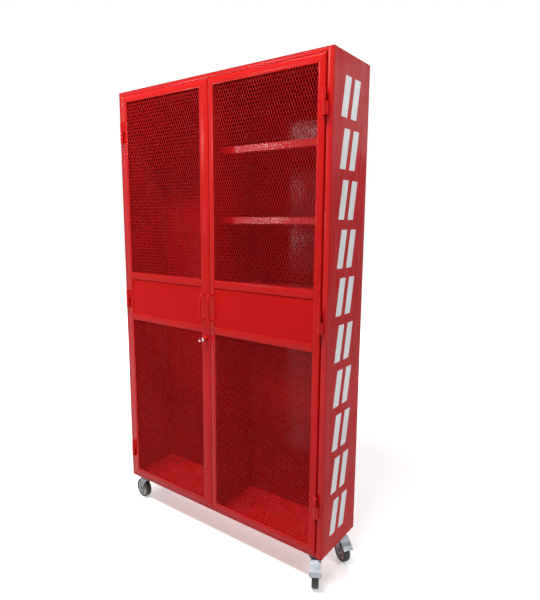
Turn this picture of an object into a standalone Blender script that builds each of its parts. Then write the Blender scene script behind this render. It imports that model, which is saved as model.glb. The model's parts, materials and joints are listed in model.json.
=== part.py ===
"""Emergency equipment cabinet: a shallow steel cabinet on four swivel casters, with two mesh doors.

Metres, +Z up, the front towards -Y. The origin is on the floor, in the middle of the whole object's
width, casters and pedals included, and half way between its back and the key that stands out in front.
The doors are closed and the lock is open, so that each door can swing by itself. Every height of the
body is counted from its underside, and the model is built about the body's middle and then moved.
"""

import math

import bmesh
import bpy
from mathutils import Vector

for old in list(bpy.data.objects):
    bpy.data.objects.remove(old, do_unlink=True)

# Whole cabinet
BODY_WIDTH = 1.200
BODY_DEPTH = 0.290
BODY_HEIGHT = 2.000
CASTER_HEIGHT = 0.135
SHEET = 0.0015
CONTACT_GAP = 0.0003
OVERRUN = 0.010

# Front frame of rectangular tube
POST_WIDTH = 0.028
FRAME_DEPTH = 0.028
FRAME_RAIL_HEIGHT = 0.018
TUBE_WALL = 0.0015

# Door frames of angle iron, flat mid rails and the fillings behind them
DOOR_PROUD = 0.008
DOOR_GAP = 0.003
ANGLE_THICKNESS = 0.003
ANGLE_DEPTH = 0.025
HINGE_STILE_WIDTH = 0.030
LEFT_MEETING_WIDTH = 0.052
RIGHT_MEETING_WIDTH = 0.025
DOOR_RAIL_HEIGHT = 0.030
MID_RAIL_HEIGHT = 0.034
PANEL_LOW = 0.912
PANEL_HIGH = 1.090
FILL_LAP = 0.012

# Expanded metal, drawn with fewer and larger diamonds than the real sheet
MESH_THICKNESS = 0.002
MESH_PITCH_ACROSS = 0.082
MESH_PITCH_UP = 0.190
MESH_STRAND = 0.007
MESH_MARGIN = 0.004

# Weld-on bullet hinges, with their middles at shares of the body's height
BARREL_RADIUS = 0.007
HALF_LENGTH = 0.047
HINGE_SLIT = 0.001
PIN_RADIUS = 0.004
PIN_LENGTH = 0.030
PIN_CLEARANCE = 0.0004
BLOCK_NEAR = 0.0048
BLOCK_FAR = 0.014
BLOCK_FRONT = 0.0008
LEFT_HINGE_SHARES = (0.0825, 0.4925, 0.904)
RIGHT_HINGE_SHARES = (0.116, 0.501, 0.906)

# Bent bar handles
HANDLE_RADIUS = 0.004
HANDLE_REACH = 0.031
HANDLE_LOW = 0.941
HANDLE_HIGH = 1.056
HANDLE_BEND = 0.014
LEFT_HANDLE_INSET = 0.032
RIGHT_HANDLE_INSET = 0.012

# Cam lock in the left door's meeting stile
LOCK_HEIGHT = 0.851
LOCK_INSET = 0.0235
HOUSING_RADIUS = 0.0105
HOUSING_LENGTH = 0.024
LOCK_BODY_RADIUS = 0.008
LOCK_CLEARANCE = 0.0004
PLUG_RADIUS = 0.0055
PLUG_FACE_RADIUS = 0.0075
PLUG_FACE = 0.0015
STUB_RADIUS = 0.003
NUT_THICKNESS = 0.003
CAM_LENGTH = 0.040
CAM_WIDTH = 0.014
CAM_THICKNESS = 0.0025
KEY_THICKNESS = 0.002
KEY_BLADE_WIDTH = 0.007
KEY_NECK = 0.006
KEY_BOW_RADIUS = 0.0105
KEY_HOLE_RADIUS = 0.0035
KEYWAY_DEPTH = 0.012

# Partition and the shelves of the right compartment
PARTITION_SHIFT = 0.004
PARTITION_SETBACK = 0.034
STRIP_WIDTH = 0.015
STRIP_THICKNESS = 0.003
SHELF_SETBACK = 0.062
SHELF_LIP = 0.028
TOP_SHELF_DROP = 0.298
SHELF_PITCH = 0.300

# Casters: swivel axes, top plates and their bolts
LEFT_CASTER_INSET = 0.075
RIGHT_CASTER_INSET = 0.048
FRONT_CASTER_INSET = 0.036
REAR_CASTER_INSET = 0.050
PLATE_LENGTH = 0.092
PLATE_DEPTH = 0.067
PLATE_THICKNESS = 0.003
BOLT_SPACING_ACROSS = 0.075
BOLT_SPACING_DEEP = 0.045
BOLT_RADIUS = 0.004
BOLT_CLEARANCE = 0.0005
BOLT_HEAD_RADIUS = 0.0070
BOLT_HEAD_HEIGHT = 0.005
RACE_RADIUS = 0.027
RACE_HEIGHT = 0.009
KINGPIN_RADIUS = 0.005
KINGPIN_CLEARANCE = 0.0004
KINGPIN_HEAD_RADIUS = 0.008
KINGPIN_HEAD_HEIGHT = 0.003

# Casters: fork, axle, wheel and brake pedal
CASTER_TRAIL = 0.035
FORK_HEAD_RADIUS = 0.030
FORK_THICKNESS = 0.003
FORK_BACK = 0.024
FORK_FRONT = 0.036
FORK_END_RADIUS = 0.012
AXLE_RADIUS = 0.004
AXLE_CLEARANCE = 0.0004
AXLE_HEAD_RADIUS = 0.007
AXLE_HEAD_LENGTH = 0.005
WHEEL_RADIUS = 0.050
TYRE_WIDTH = 0.030
TYRE_SHOULDER = 0.005
CORE_RADIUS = 0.038
CORE_WIDTH = 0.024
HUB_RADIUS = 0.013
HUB_WIDTH = 0.032
PEDAL_WIDTH = 0.046
PEDAL_THICKNESS = 0.002
PEDAL_START = (0.040, -0.014)
PEDAL_KINK = (0.062, -0.031)
PEDAL_SHELF = (0.078, -0.040)
PEDAL_TIP = (0.091, -0.053)
PEDAL_PIVOT = (0.033, -0.024)
PEDAL_PIN_RADIUS = 0.003
PEDAL_CHEEK_HEIGHT = 0.008

# Places worked out from the sizes above
BOTTOM = CASTER_HEIGHT
TOP = BOTTOM + BODY_HEIGHT
HALF_WIDTH = BODY_WIDTH / 2
KEY_REACH = KEY_NECK + 2 * KEY_BOW_RADIUS
FRONT_REACH = DOOR_PROUD + HOUSING_LENGTH + PLUG_FACE + KEY_REACH
FRONT = (FRONT_REACH - BODY_DEPTH) / 2
BACK = FRONT + BODY_DEPTH
INNER_SIDE = HALF_WIDTH - SHEET - CONTACT_GAP
INNER_BACK = BACK - SHEET - CONTACT_GAP
INNER_LOW = BOTTOM + SHEET + CONTACT_GAP
INNER_HIGH = TOP - SHEET - CONTACT_GAP
OPENING_SIDE = HALF_WIDTH - POST_WIDTH
OPENING_LOW = INNER_LOW + FRAME_RAIL_HEIGHT
OPENING_HIGH = INNER_HIGH - FRAME_RAIL_HEIGHT
DOOR_LOW = OPENING_LOW + DOOR_GAP
DOOR_HIGH = OPENING_HIGH - DOOR_GAP
HINGE_X = OPENING_SIDE - DOOR_GAP / 2
FACE_OFFSET = BARREL_RADIUS + CONTACT_GAP
HINGE_Y = FRONT - DOOR_PROUD - FACE_OFFSET
DOOR_EDGE = DOOR_GAP / 2
DOOR_FREE_EDGE = HINGE_X - DOOR_GAP / 2
FILL_OFFSET = FACE_OFFSET + ANGLE_THICKNESS + CONTACT_GAP
RACE_UNDERSIDE = -PLATE_THICKNESS - RACE_HEIGHT
FORK_TOP = RACE_UNDERSIDE - CONTACT_GAP
AXLE_DROP = WHEEL_RADIUS - CASTER_HEIGHT
FORK_INNER = HUB_WIDTH / 2 + CONTACT_GAP
FORK_OUTER = FORK_INNER + FORK_THICKNESS

# How far the right rear pedal brings the middle of the whole width past the body's middle
MIDDLE_SHIFT = 0.0154

# Number of sides of the round pieces
FINE_SIDES = 24
MEDIUM_SIDES = 16
COARSE_SIDES = 12
BOLT_SIDES = 6
BORE_SIDES = 8
ARC_STEPS = 4
SHARP_ANGLE = math.radians(40)

PARTS = bpy.data.collections.new("emergency_equipment_cabinet")
CUTTERS = bpy.data.collections.new("cutters")
bpy.context.scene.collection.children.link(PARTS)
bpy.context.scene.collection.children.link(CUTTERS)

TURN_ALONG = {
    "X": (math.radians(90), 0, math.radians(90)),
    "Y": (math.radians(90), 0, 0),
    "Z": (0, 0, 0),
}


def material(name, colour, roughness, metallic=0.0):
    """A Principled material of one colour."""
    made = bpy.data.materials.new(name)
    made.use_nodes = True
    shader = made.node_tree.nodes["Principled BSDF"]
    shader.inputs["Base Color"].default_value = (*colour, 1.0)
    shader.inputs["Roughness"].default_value = roughness
    shader.inputs["Metallic"].default_value = metallic
    made.diffuse_color = (*colour, 1.0)
    return made


def finished(obj, finish, parent=None):
    """Gives an object its own copy of a finish, and its place in the parts collection."""
    own = finish.copy()
    own.name = f"{obj.name}_{finish.name}"
    obj.data.materials.append(own)
    obj.parent = parent
    PARTS.objects.link(obj)
    return obj


def hidden(obj):
    """Marks an object as a cutter or a guide."""
    obj.hide_render = True
    obj.display_type = "WIRE"
    CUTTERS.objects.link(obj)
    return obj


def bare_box(name, low, high):
    """A closed box between two corners, with its origin at its middle."""
    low, high = Vector(low), Vector(high)
    shape = bmesh.new()
    bmesh.ops.create_cube(shape, size=1)
    bmesh.ops.scale(shape, vec=high - low, verts=shape.verts)
    mesh = bpy.data.meshes.new(name)
    shape.to_mesh(mesh)
    shape.free()
    obj = bpy.data.objects.new(name, mesh)
    obj.location = (low + high) / 2
    return obj


def bare_cylinder(name, radius, length, centre, along="Z", sides=MEDIUM_SIDES):
    """A closed round bar, with its origin at its middle."""
    shape = bmesh.new()
    bmesh.ops.create_cone(
        shape, cap_ends=True, segments=sides, radius1=radius, radius2=radius, depth=length
    )
    mesh = bpy.data.meshes.new(name)
    shape.to_mesh(mesh)
    shape.free()
    mesh.shade_smooth()
    mesh.set_sharp_from_angle(angle=SHARP_ANGLE)
    obj = bpy.data.objects.new(name, mesh)
    obj.location = centre
    obj.rotation_euler = TURN_ALONG[along]
    return obj


def bare_bar(name, outlines, length, centre, along="Z"):
    """Flat outlines drawn out along an axis.

    An outline along Z is drawn in X and Y, one along X in Y and Z, and one along Y in X and Z.
    """
    curve = bpy.data.curves.new(name, "CURVE")
    curve.dimensions = "2D"
    curve.fill_mode = "BOTH"
    curve.extrude = length / 2
    for outline in outlines:
        spline = curve.splines.new("POLY")
        spline.points.add(len(outline) - 1)
        for point, (across, up) in zip(spline.points, outline):
            point.co = (across, up, 0, 1)
        spline.use_cyclic_u = True
    obj = bpy.data.objects.new(name, curve)
    obj.location = centre
    obj.rotation_euler = TURN_ALONG[along]
    return obj


def bare_turned(name, profile, centre=(0, 0, 0), along="Z", sides=MEDIUM_SIDES, closed=False):
    """A profile of radius and height turned about an axis.

    It runs down the outer side, top to bottom. A closed profile is a ring's section.
    """
    points = [(radius, 0, height) for radius, height in profile]
    edges = [(i, i + 1) for i in range(len(points) - 1)]
    if closed:
        edges.append((len(points) - 1, 0))
    mesh = bpy.data.meshes.new(name)
    mesh.from_pydata(points, edges, [])
    obj = bpy.data.objects.new(name, mesh)
    screw = obj.modifiers.new("turn", "SCREW")
    screw.steps = sides
    screw.render_steps = sides
    screw.use_merge_vertices = True
    screw.merge_threshold = 0.00001
    screw.use_smooth_shade = True
    obj.location = centre
    obj.rotation_euler = TURN_ALONG[along]
    return obj


def evaluated_mesh(obj):
    """An object's final mesh in the space of its parent, with the caps of a curve welded."""
    bpy.context.view_layer.update()
    graph = bpy.context.evaluated_depsgraph_get()
    mesh = bpy.data.meshes.new_from_object(obj.evaluated_get(graph))
    shape = bmesh.new()
    shape.from_mesh(mesh)
    bmesh.ops.remove_doubles(shape, verts=shape.verts, dist=0.00001)
    shape.transform(obj.matrix_basis)
    shape.to_mesh(mesh)
    shape.free()
    return mesh


def merged(name, pieces):
    """One object of several bare pieces, which stay separate bodies."""
    shape = bmesh.new()
    for piece in pieces:
        PARTS.objects.link(piece)
        shape.from_mesh(evaluated_mesh(piece))
    mesh = bpy.data.meshes.new(name)
    shape.to_mesh(mesh)
    shape.free()
    for piece in pieces:
        bpy.data.objects.remove(piece, do_unlink=True)
    return bpy.data.objects.new(name, mesh)


def combine(obj, other, operation, parent=None):
    """Cuts, joins or crosses an object with a bare one, which moves to the cutters."""
    hidden(other)
    other.parent = parent
    boolean = obj.modifiers.new(operation.lower(), "BOOLEAN")
    boolean.operation = operation
    boolean.solver = "EXACT"
    boolean.object = other
    return obj


def repeat(obj, count, step):
    """Copies a piece along a straight line."""
    array = obj.modifiers.new("repeat", "ARRAY")
    array.count = count
    array.use_relative_offset = False
    array.use_constant_offset = True
    array.constant_offset_displace = step
    return obj


def rectangle(low, high):
    """The four corners of an upright rectangle."""
    return [(low[0], low[1]), (high[0], low[1]), (high[0], high[1]), (low[0], high[1])]


def arc(centre, radius, start, end, steps):
    """Points on a circle, from one angle in degrees to another."""
    angles = [math.radians(start + (end - start) * i / steps) for i in range(steps + 1)]
    return [(centre[0] + radius * math.cos(a), centre[1] + radius * math.sin(a)) for a in angles]


def tube_outlines(low, high):
    """The outer and inner edges of a rectangular tube's section."""
    inner_low = (low[0] + TUBE_WALL, low[1] + TUBE_WALL)
    inner_high = (high[0] - TUBE_WALL, high[1] - TUBE_WALL)
    return [rectangle(low, high), rectangle(inner_low, inner_high)]


def angle_outline(edge, leg, face, depth, side=1):
    """An angle iron's section: a leg from the edge, and one that turns back at the edge.

    The first numbers run away from the edge on the given side, the second ones to the back.
    """
    thick = side * ANGLE_THICKNESS
    return [
        (edge, face),
        (edge + side * leg, face),
        (edge + side * leg, face + ANGLE_THICKNESS),
        (edge + thick, face + ANGLE_THICKNESS),
        (edge + thick, face + depth),
        (edge, face + depth),
    ]


RED_PAINT = material("gloss_red_paint", (0.55, 0.010, 0.012), 0.22)
RED_MESH = material("red_mesh_paint", (0.42, 0.012, 0.014), 0.35)
ZINC = material("zinc_plate", (0.62, 0.63, 0.66), 0.32, 1.0)
BLACK_RUBBER = material("black_rubber", (0.020, 0.018, 0.018), 0.65)
GREY_CORE = material("grey_wheel_core", (0.48, 0.45, 0.42), 0.45)
CHROME = material("chrome", (0.80, 0.80, 0.82), 0.10, 1.0)


def panels():
    """The five sheets of the body; sides, back and front frame stand between floor and top."""
    floor = bare_box(
        "floor_panel", (-HALF_WIDTH, FRONT, BOTTOM), (HALF_WIDTH, BACK, BOTTOM + SHEET)
    )
    combine(floor, bolt_holes("floor_bolt_holes", BOLT_RADIUS + BOLT_CLEARANCE), "DIFFERENCE")
    finished(floor, RED_PAINT)
    top = bare_box("top_panel", (-HALF_WIDTH, FRONT, TOP - SHEET), (HALF_WIDTH, BACK, TOP))
    finished(top, RED_PAINT)
    for name, side in (("left_side_panel", -1), ("right_side_panel", 1)):
        low_x, high_x = sorted((side * HALF_WIDTH, side * (HALF_WIDTH - SHEET)))
        panel = bare_box(name, (low_x, FRONT, INNER_LOW), (high_x, BACK, INNER_HIGH))
        finished(panel, RED_PAINT)
    back = bare_box(
        "back_panel", (-INNER_SIDE, BACK - SHEET, INNER_LOW), (INNER_SIDE, BACK, INNER_HIGH)
    )
    finished(back, RED_PAINT)


def front_frame():
    """Two posts of rectangular tube with the fixed hinge halves, and a rail at each end."""
    middle = (INNER_LOW + INNER_HIGH) / 2
    for name, side, hinge_shares in (
        ("front_left_post", -1, LEFT_HINGE_SHARES),
        ("front_right_post", 1, RIGHT_HINGE_SHARES),
    ):
        low_x, high_x = sorted((side * INNER_SIDE, side * OPENING_SIDE))
        outlines = tube_outlines((low_x, FRONT), (high_x, FRONT + FRAME_DEPTH))
        post = merged(name, [bare_bar(name, outlines, INNER_HIGH - INNER_LOW, (0, 0, middle))])
        weld_hinge_pins(post, side, hinge_shares)
        finished(post, RED_PAINT)
    length = 2 * (OPENING_SIDE - CONTACT_GAP)
    for name, low_z, high_z in (
        ("front_bottom_rail", INNER_LOW, OPENING_LOW),
        ("front_top_rail", OPENING_HIGH, INNER_HIGH),
    ):
        outlines = tube_outlines((FRONT, low_z), (FRONT + FRAME_DEPTH, high_z))
        rail = merged(name, [bare_bar(name, outlines, length, (0, 0, 0), "X")])
        if low_z == INNER_LOW:
            heads = bolt_holes("bolt_head_holes", BOLT_HEAD_RADIUS + BOLT_CLEARANCE)
            combine(rail, heads, "DIFFERENCE")
        finished(rail, RED_PAINT)


def partition():
    """A flat sheet from floor to top behind the centre seam, with a flat bar on its front edge."""
    right = PARTITION_SHIFT + SHEET / 2
    strip_y = FRONT + PARTITION_SETBACK
    sheet_y = strip_y + STRIP_THICKNESS + CONTACT_GAP
    sheet = bare_box(
        "partition", (right - SHEET, sheet_y, INNER_LOW), (right, INNER_BACK, INNER_HIGH)
    )
    finished(sheet, RED_PAINT)
    strip = bare_box(
        "partition_edge_strip",
        (right - STRIP_WIDTH, strip_y, INNER_LOW),
        (right, strip_y + STRIP_THICKNESS, INNER_HIGH),
    )
    finished(strip, RED_PAINT)


def shelves():
    """Three shelves with a turned-down front lip, welded to the partition, the side and the back."""
    low_x = PARTITION_SHIFT + SHEET / 2 + CONTACT_GAP
    high_x = INNER_SIDE
    front = FRONT + SHELF_SETBACK
    for i, name in enumerate(("upper_shelf", "middle_shelf", "lower_shelf")):
        height = TOP - TOP_SHELF_DROP - SHELF_PITCH * i
        outline = [
            (front, height),
            (front, height - SHELF_LIP),
            (front + SHEET, height - SHELF_LIP),
            (front + SHEET, height - SHEET),
            (INNER_BACK, height - SHEET),
            (INNER_BACK, height),
        ]
        centre = ((low_x + high_x) / 2, 0, 0)
        finished(bare_bar(name, [outline], high_x - low_x, centre, "X"), RED_PAINT)


def hinge_shapes(name, places, profile, block_low, block_high):
    """The blocks and the turned barrels of one side's hinge halves, as two operands."""
    blocks, barrels = [], []
    for place in places:
        block = bare_box(f"{name}_block", block_low, block_high)
        block.location += place
        blocks.append(block)
        barrels.append(bare_turned(f"{name}_barrel", profile, place, sides=COARSE_SIDES))
    return merged(f"{name}_blocks", blocks), merged(f"{name}_barrels", barrels)


def weld_hinge_pins(post, side, hinge_shares):
    """Welds the fixed lower halves to a post: barrels with a pin on them, blocks back to the post."""
    top = -HINGE_SLIT / 2
    foot = top - HALF_LENGTH
    heights = [BOTTOM + BODY_HEIGHT * hinge_share for hinge_share in hinge_shares]
    places = [Vector((side * HINGE_X, HINGE_Y, height)) for height in heights]
    low_x, high_x = sorted((side * BLOCK_NEAR, side * BLOCK_FAR))
    profile = [
        (0, top + PIN_LENGTH),
        (PIN_RADIUS, top + PIN_LENGTH),
        (PIN_RADIUS, top),
        (BARREL_RADIUS, top),
        (BARREL_RADIUS, foot),
        (0, foot),
    ]
    reach = FACE_OFFSET + DOOR_PROUD + TUBE_WALL / 2
    shapes = hinge_shapes("pin", places, profile, (low_x, BLOCK_FRONT, foot), (high_x, reach, top))
    for shape in shapes:
        combine(post, shape, "UNION")


def weld_hinge_knuckles(stile, side, hinge_shares, parent):
    """Welds the moving upper halves to a stile: barrels with a blind bore, blocks on to the stile."""
    foot = HINGE_SLIT / 2
    top = foot + HALF_LENGTH
    heights = [BOTTOM + BODY_HEIGHT * hinge_share for hinge_share in hinge_shares]
    places = [Vector((0, 0, height)) for height in heights]
    low_x, high_x = sorted((side * BLOCK_NEAR, side * BLOCK_FAR))
    profile = [(0, top), (BARREL_RADIUS, top), (BARREL_RADIUS, foot), (0, foot)]
    reach = FACE_OFFSET + ANGLE_THICKNESS / 2
    shapes = hinge_shapes("knuckle", places, profile, (low_x, BLOCK_FRONT, foot), (high_x, reach, top))
    for shape in shapes:
        combine(stile, shape, "UNION", parent)
    radius = PIN_RADIUS + PIN_CLEARANCE
    length = 2 * (PIN_LENGTH + PIN_CLEARANCE)
    bores = [
        bare_cylinder("knuckle_bore", radius, length, place, "Z", COARSE_SIDES)
        for place in places
    ]
    combine(stile, merged("knuckle_bores", bores), "DIFFERENCE", parent)


def mesh_sheet(name, low, high, hole_low, hole_high, parent):
    """A sheet of expanded metal: rows of upright diamonds cut out of the part that shows."""
    sheet = bare_box(name, low, high)
    centre = [(a + b) / 2 for a, b in zip(hole_low, hole_high)]
    size = [b - a for a, b in zip(hole_low, hole_high)]
    columns = round(size[0] / MESH_PITCH_ACROSS)
    rows = round(size[2] / MESH_PITCH_UP)
    pitch_across = size[0] / columns
    pitch_up = size[2] / rows
    half_across = (pitch_across - MESH_STRAND) / 2
    half_up = (pitch_up - MESH_STRAND * pitch_up / pitch_across) / 2
    diamond = [(half_across, 0), (0, half_up), (-half_across, 0), (0, -half_up)]
    outlines = []
    for row in range(2 * rows + 1):
        for column in range(columns + 1):
            across = (column - columns / 2 + (row % 2) / 2) * pitch_across
            up = (row - rows) * pitch_up / 2
            outlines.append([(across + a, up + b) for a, b in diamond])
    cutter = bare_bar(f"{name}_diamonds", outlines, MESH_THICKNESS + 2 * OVERRUN, centre, "Y")
    hidden(cutter)
    solid = bpy.data.objects.new(f"{name}_diamond_cutter", evaluated_mesh(cutter))
    bpy.data.objects.remove(cutter, do_unlink=True)
    window = bare_box(
        f"{name}_window",
        (hole_low[0] + MESH_MARGIN, low[1] - 2 * OVERRUN, hole_low[2] + MESH_MARGIN),
        (hole_high[0] - MESH_MARGIN, high[1] + 2 * OVERRUN, hole_high[2] - MESH_MARGIN),
    )
    combine(solid, window, "INTERSECT", parent)
    combine(sheet, solid, "DIFFERENCE", parent)
    return finished(sheet, RED_MESH, parent)


def handle(name, inset, side, parent):
    """A round bar bent to a D, its two feet welded to the meeting stile."""
    across = side * (DOOR_FREE_EDGE - inset)
    foot = FACE_OFFSET - CONTACT_GAP
    out = FACE_OFFSET - HANDLE_REACH
    low, high = BOTTOM + HANDLE_LOW, BOTTOM + HANDLE_HIGH
    lower = arc((out + HANDLE_BEND, low + HANDLE_BEND), HANDLE_BEND, 270, 180, ARC_STEPS)
    upper = arc((out + HANDLE_BEND, high - HANDLE_BEND), HANDLE_BEND, 180, 90, ARC_STEPS)
    path = [(foot, low), *lower, *upper, (foot, high)]
    curve = bpy.data.curves.new(name, "CURVE")
    curve.dimensions = "3D"
    curve.bevel_depth = HANDLE_RADIUS
    curve.bevel_resolution = 2
    curve.use_fill_caps = True
    spline = curve.splines.new("POLY")
    spline.points.add(len(path) - 1)
    for point, (depth, height) in zip(spline.points, path):
        point.co = (across, depth, height, 1)
    finished(bpy.data.objects.new(name, curve), RED_PAINT, parent)


def door(label, side, meeting_width, handle_inset, hinge_shares):
    """One door about its hinge axis; side is the way from the hinge to the free edge."""
    hinge = bpy.data.objects.new(f"{label}_door_axis", None)
    hinge.location = (-side * HINGE_X, HINGE_Y, 0)
    PARTS.objects.link(hinge)
    prefix = f"{label}_door"
    middle = (DOOR_LOW + DOOR_HIGH) / 2
    height = DOOR_HIGH - DOOR_LOW
    hinge_edge = side * DOOR_EDGE
    free_edge = side * DOOR_FREE_EDGE
    hinge_leg = angle_outline(hinge_edge, HINGE_STILE_WIDTH, FACE_OFFSET, ANGLE_DEPTH, side)
    stile = bare_bar(f"{prefix}_hinge_stile", [hinge_leg], height, (0, 0, middle))
    stile = merged(f"{prefix}_hinge_stile", [stile])
    weld_hinge_knuckles(stile, side, hinge_shares, hinge)
    finished(stile, RED_PAINT, hinge)
    free_leg = angle_outline(free_edge, meeting_width, FACE_OFFSET, ANGLE_DEPTH, -side)
    stile = bare_bar(f"{prefix}_meeting_stile", [free_leg], height, (0, 0, middle))
    if label == "left":
        stile = merged(f"{prefix}_meeting_stile", [stile])
        hole = bare_cylinder(
            "lock_hole",
            LOCK_BODY_RADIUS + LOCK_CLEARANCE,
            ANGLE_THICKNESS + 2 * OVERRUN,
            (LOCK_X, FACE_OFFSET, LOCK_Z),
            "Y",
        )
        combine(stile, hole, "DIFFERENCE", hinge)
    finished(stile, RED_PAINT, hinge)

    inner_a = DOOR_EDGE + HINGE_STILE_WIDTH
    inner_b = DOOR_FREE_EDGE - meeting_width
    rail_centre = (side * (inner_a + inner_b) / 2, 0, 0)
    rail_length = inner_b - inner_a - 2 * CONTACT_GAP
    for name, edge, way in (("bottom_rail", DOOR_LOW, 1), ("top_rail", DOOR_HIGH, -1)):
        leg = angle_outline(edge, DOOR_RAIL_HEIGHT, FACE_OFFSET, ANGLE_DEPTH, way)
        outline = [(depth, up) for up, depth in leg]
        rail = bare_bar(f"{prefix}_{name}", [outline], rail_length, rail_centre, "X")
        finished(rail, RED_PAINT, hinge)
    face_back = FACE_OFFSET + ANGLE_THICKNESS
    low_edge = BOTTOM + PANEL_LOW - MID_RAIL_HEIGHT
    high_edge = BOTTOM + PANEL_HIGH
    rail_x = sorted((side * (inner_a + CONTACT_GAP), side * (inner_b - CONTACT_GAP)))
    for name, edge in (("lower_mid_rail", low_edge), ("upper_mid_rail", high_edge)):
        rail = bare_box(
            f"{prefix}_{name}",
            (rail_x[0], FACE_OFFSET, edge),
            (rail_x[1], face_back, edge + MID_RAIL_HEIGHT),
        )
        finished(rail, RED_PAINT, hinge)

    fill_x = sorted((side * (inner_a - FILL_LAP), side * (inner_b + FILL_LAP)))
    hole_x = sorted((side * inner_a, side * inner_b))
    panel_low = BOTTOM + PANEL_LOW - FILL_LAP
    panel_high = BOTTOM + PANEL_HIGH + FILL_LAP
    inner_low = DOOR_LOW + DOOR_RAIL_HEIGHT
    inner_high = DOOR_HIGH - DOOR_RAIL_HEIGHT
    panel = bare_box(
        f"{prefix}_middle_panel",
        (fill_x[0], FILL_OFFSET, panel_low),
        (fill_x[1], FILL_OFFSET + SHEET, panel_high),
    )
    finished(panel, RED_PAINT, hinge)
    for name, fill_low, fill_high, hole_low, hole_high in (
        (
            "lower_mesh",
            inner_low - FILL_LAP,
            panel_low - CONTACT_GAP,
            inner_low,
            low_edge,
        ),
        (
            "upper_mesh",
            panel_high + CONTACT_GAP,
            inner_high + FILL_LAP,
            high_edge + MID_RAIL_HEIGHT,
            inner_high,
        ),
    ):
        mesh_sheet(
            f"{prefix}_{name}",
            (fill_x[0], FILL_OFFSET, fill_low),
            (fill_x[1], FILL_OFFSET + MESH_THICKNESS, fill_high),
            (hole_x[0], FILL_OFFSET, hole_low),
            (hole_x[1], FILL_OFFSET + MESH_THICKNESS, hole_high),
            hinge,
        )
    handle(f"{prefix}_handle", handle_inset, side, hinge)
    return hinge


LOCK_X = DOOR_FREE_EDGE - LOCK_INSET
LOCK_Z = BOTTOM + LOCK_HEIGHT


def lock(hinge):
    """A cam lock: painted housing on the stile, chrome plug, key, and the cam behind."""
    face = -FACE_OFFSET + CONTACT_GAP
    body_end = -FACE_OFFSET - ANGLE_DEPTH
    bore = PLUG_RADIUS + LOCK_CLEARANCE
    place = (LOCK_X, 0, LOCK_Z)
    nose = face + HOUSING_LENGTH
    ring = [
        (bore, nose),
        (HOUSING_RADIUS, nose),
        (HOUSING_RADIUS, face),
        (LOCK_BODY_RADIUS, face),
        (LOCK_BODY_RADIUS, body_end),
        (bore, body_end),
    ]
    housing = bare_turned("lock_housing", ring, place, "Y", MEDIUM_SIDES, closed=True)
    finished(housing, RED_PAINT, hinge)

    turn = bpy.data.objects.new("lock_axis", None)
    turn.location = place
    turn.parent = hinge
    PARTS.objects.link(turn)
    plug_face = nose + CONTACT_GAP
    front = plug_face + PLUG_FACE
    shoulder = body_end - CONTACT_GAP
    nut_face = shoulder - CAM_THICKNESS - 2 * CONTACT_GAP
    profile = [
        (0, front),
        (PLUG_FACE_RADIUS, front),
        (PLUG_FACE_RADIUS, plug_face),
        (PLUG_RADIUS, plug_face),
        (PLUG_RADIUS, shoulder),
        (STUB_RADIUS, shoulder),
        (STUB_RADIUS, nut_face),
        (PLUG_RADIUS, nut_face),
        (PLUG_RADIUS, nut_face - NUT_THICKNESS),
        (0, nut_face - NUT_THICKNESS),
    ]
    plug = bare_turned("lock_plug", profile, (0, 0, 0), "Y", COARSE_SIDES)
    slot_x = KEY_THICKNESS / 2 + CONTACT_GAP
    slot_z = KEY_BLADE_WIDTH / 2 + CONTACT_GAP
    keyway = bare_box(
        "keyway", (-slot_x, -front - OVERRUN, -slot_z), (slot_x, KEYWAY_DEPTH - front, slot_z)
    )
    combine(plug, keyway, "DIFFERENCE", turn)
    finished(plug, CHROME, turn)

    cam_y = -shoulder + CONTACT_GAP
    half = CAM_WIDTH / 2
    outline = arc((0, 0), half, 180, 360, 2 * ARC_STEPS)
    outline += arc((0, CAM_LENGTH - 2 * half), half, 0, 180, 2 * ARC_STEPS)
    hole = arc((0, 0), STUB_RADIUS + LOCK_CLEARANCE, 0, 360, COARSE_SIDES)[:-1]
    cam = bare_bar(
        "lock_cam", [outline, hole], CAM_THICKNESS, (0, cam_y + CAM_THICKNESS / 2, 0), "Y"
    )
    finished(cam, ZINC, turn)

    blade = KEY_BLADE_WIDTH / 2
    bow_y = -front - KEY_REACH + KEY_BOW_RADIUS
    start = math.degrees(math.asin(blade / KEY_BOW_RADIUS))
    blade_end = -front + KEYWAY_DEPTH - CONTACT_GAP
    outline = [(blade_end, -blade), (blade_end, blade)]
    outline += arc((bow_y, 0), KEY_BOW_RADIUS, start, 360 - start, 3 * ARC_STEPS)
    ring_y = bow_y - KEY_BOW_RADIUS / 2
    hole = arc((ring_y, 0), KEY_HOLE_RADIUS, 0, 360, BORE_SIDES)[:-1]
    key = bare_bar("key", [outline, hole], KEY_THICKNESS, (0, 0, 0), "X")
    finished(key, CHROME, turn)


LEFT_CASTER_X = LEFT_CASTER_INSET - HALF_WIDTH
RIGHT_CASTER_X = HALF_WIDTH - RIGHT_CASTER_INSET
FRONT_CASTER_Y = FRONT + FRONT_CASTER_INSET
REAR_CASTER_Y = BACK - REAR_CASTER_INSET


def bolt_places(obj):
    """Repeats a piece of a top plate's first bolt at the other three."""
    repeat(obj, 2, (BOLT_SPACING_ACROSS, 0, 0))
    return repeat(obj, 2, (0, BOLT_SPACING_DEEP, 0))


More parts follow.
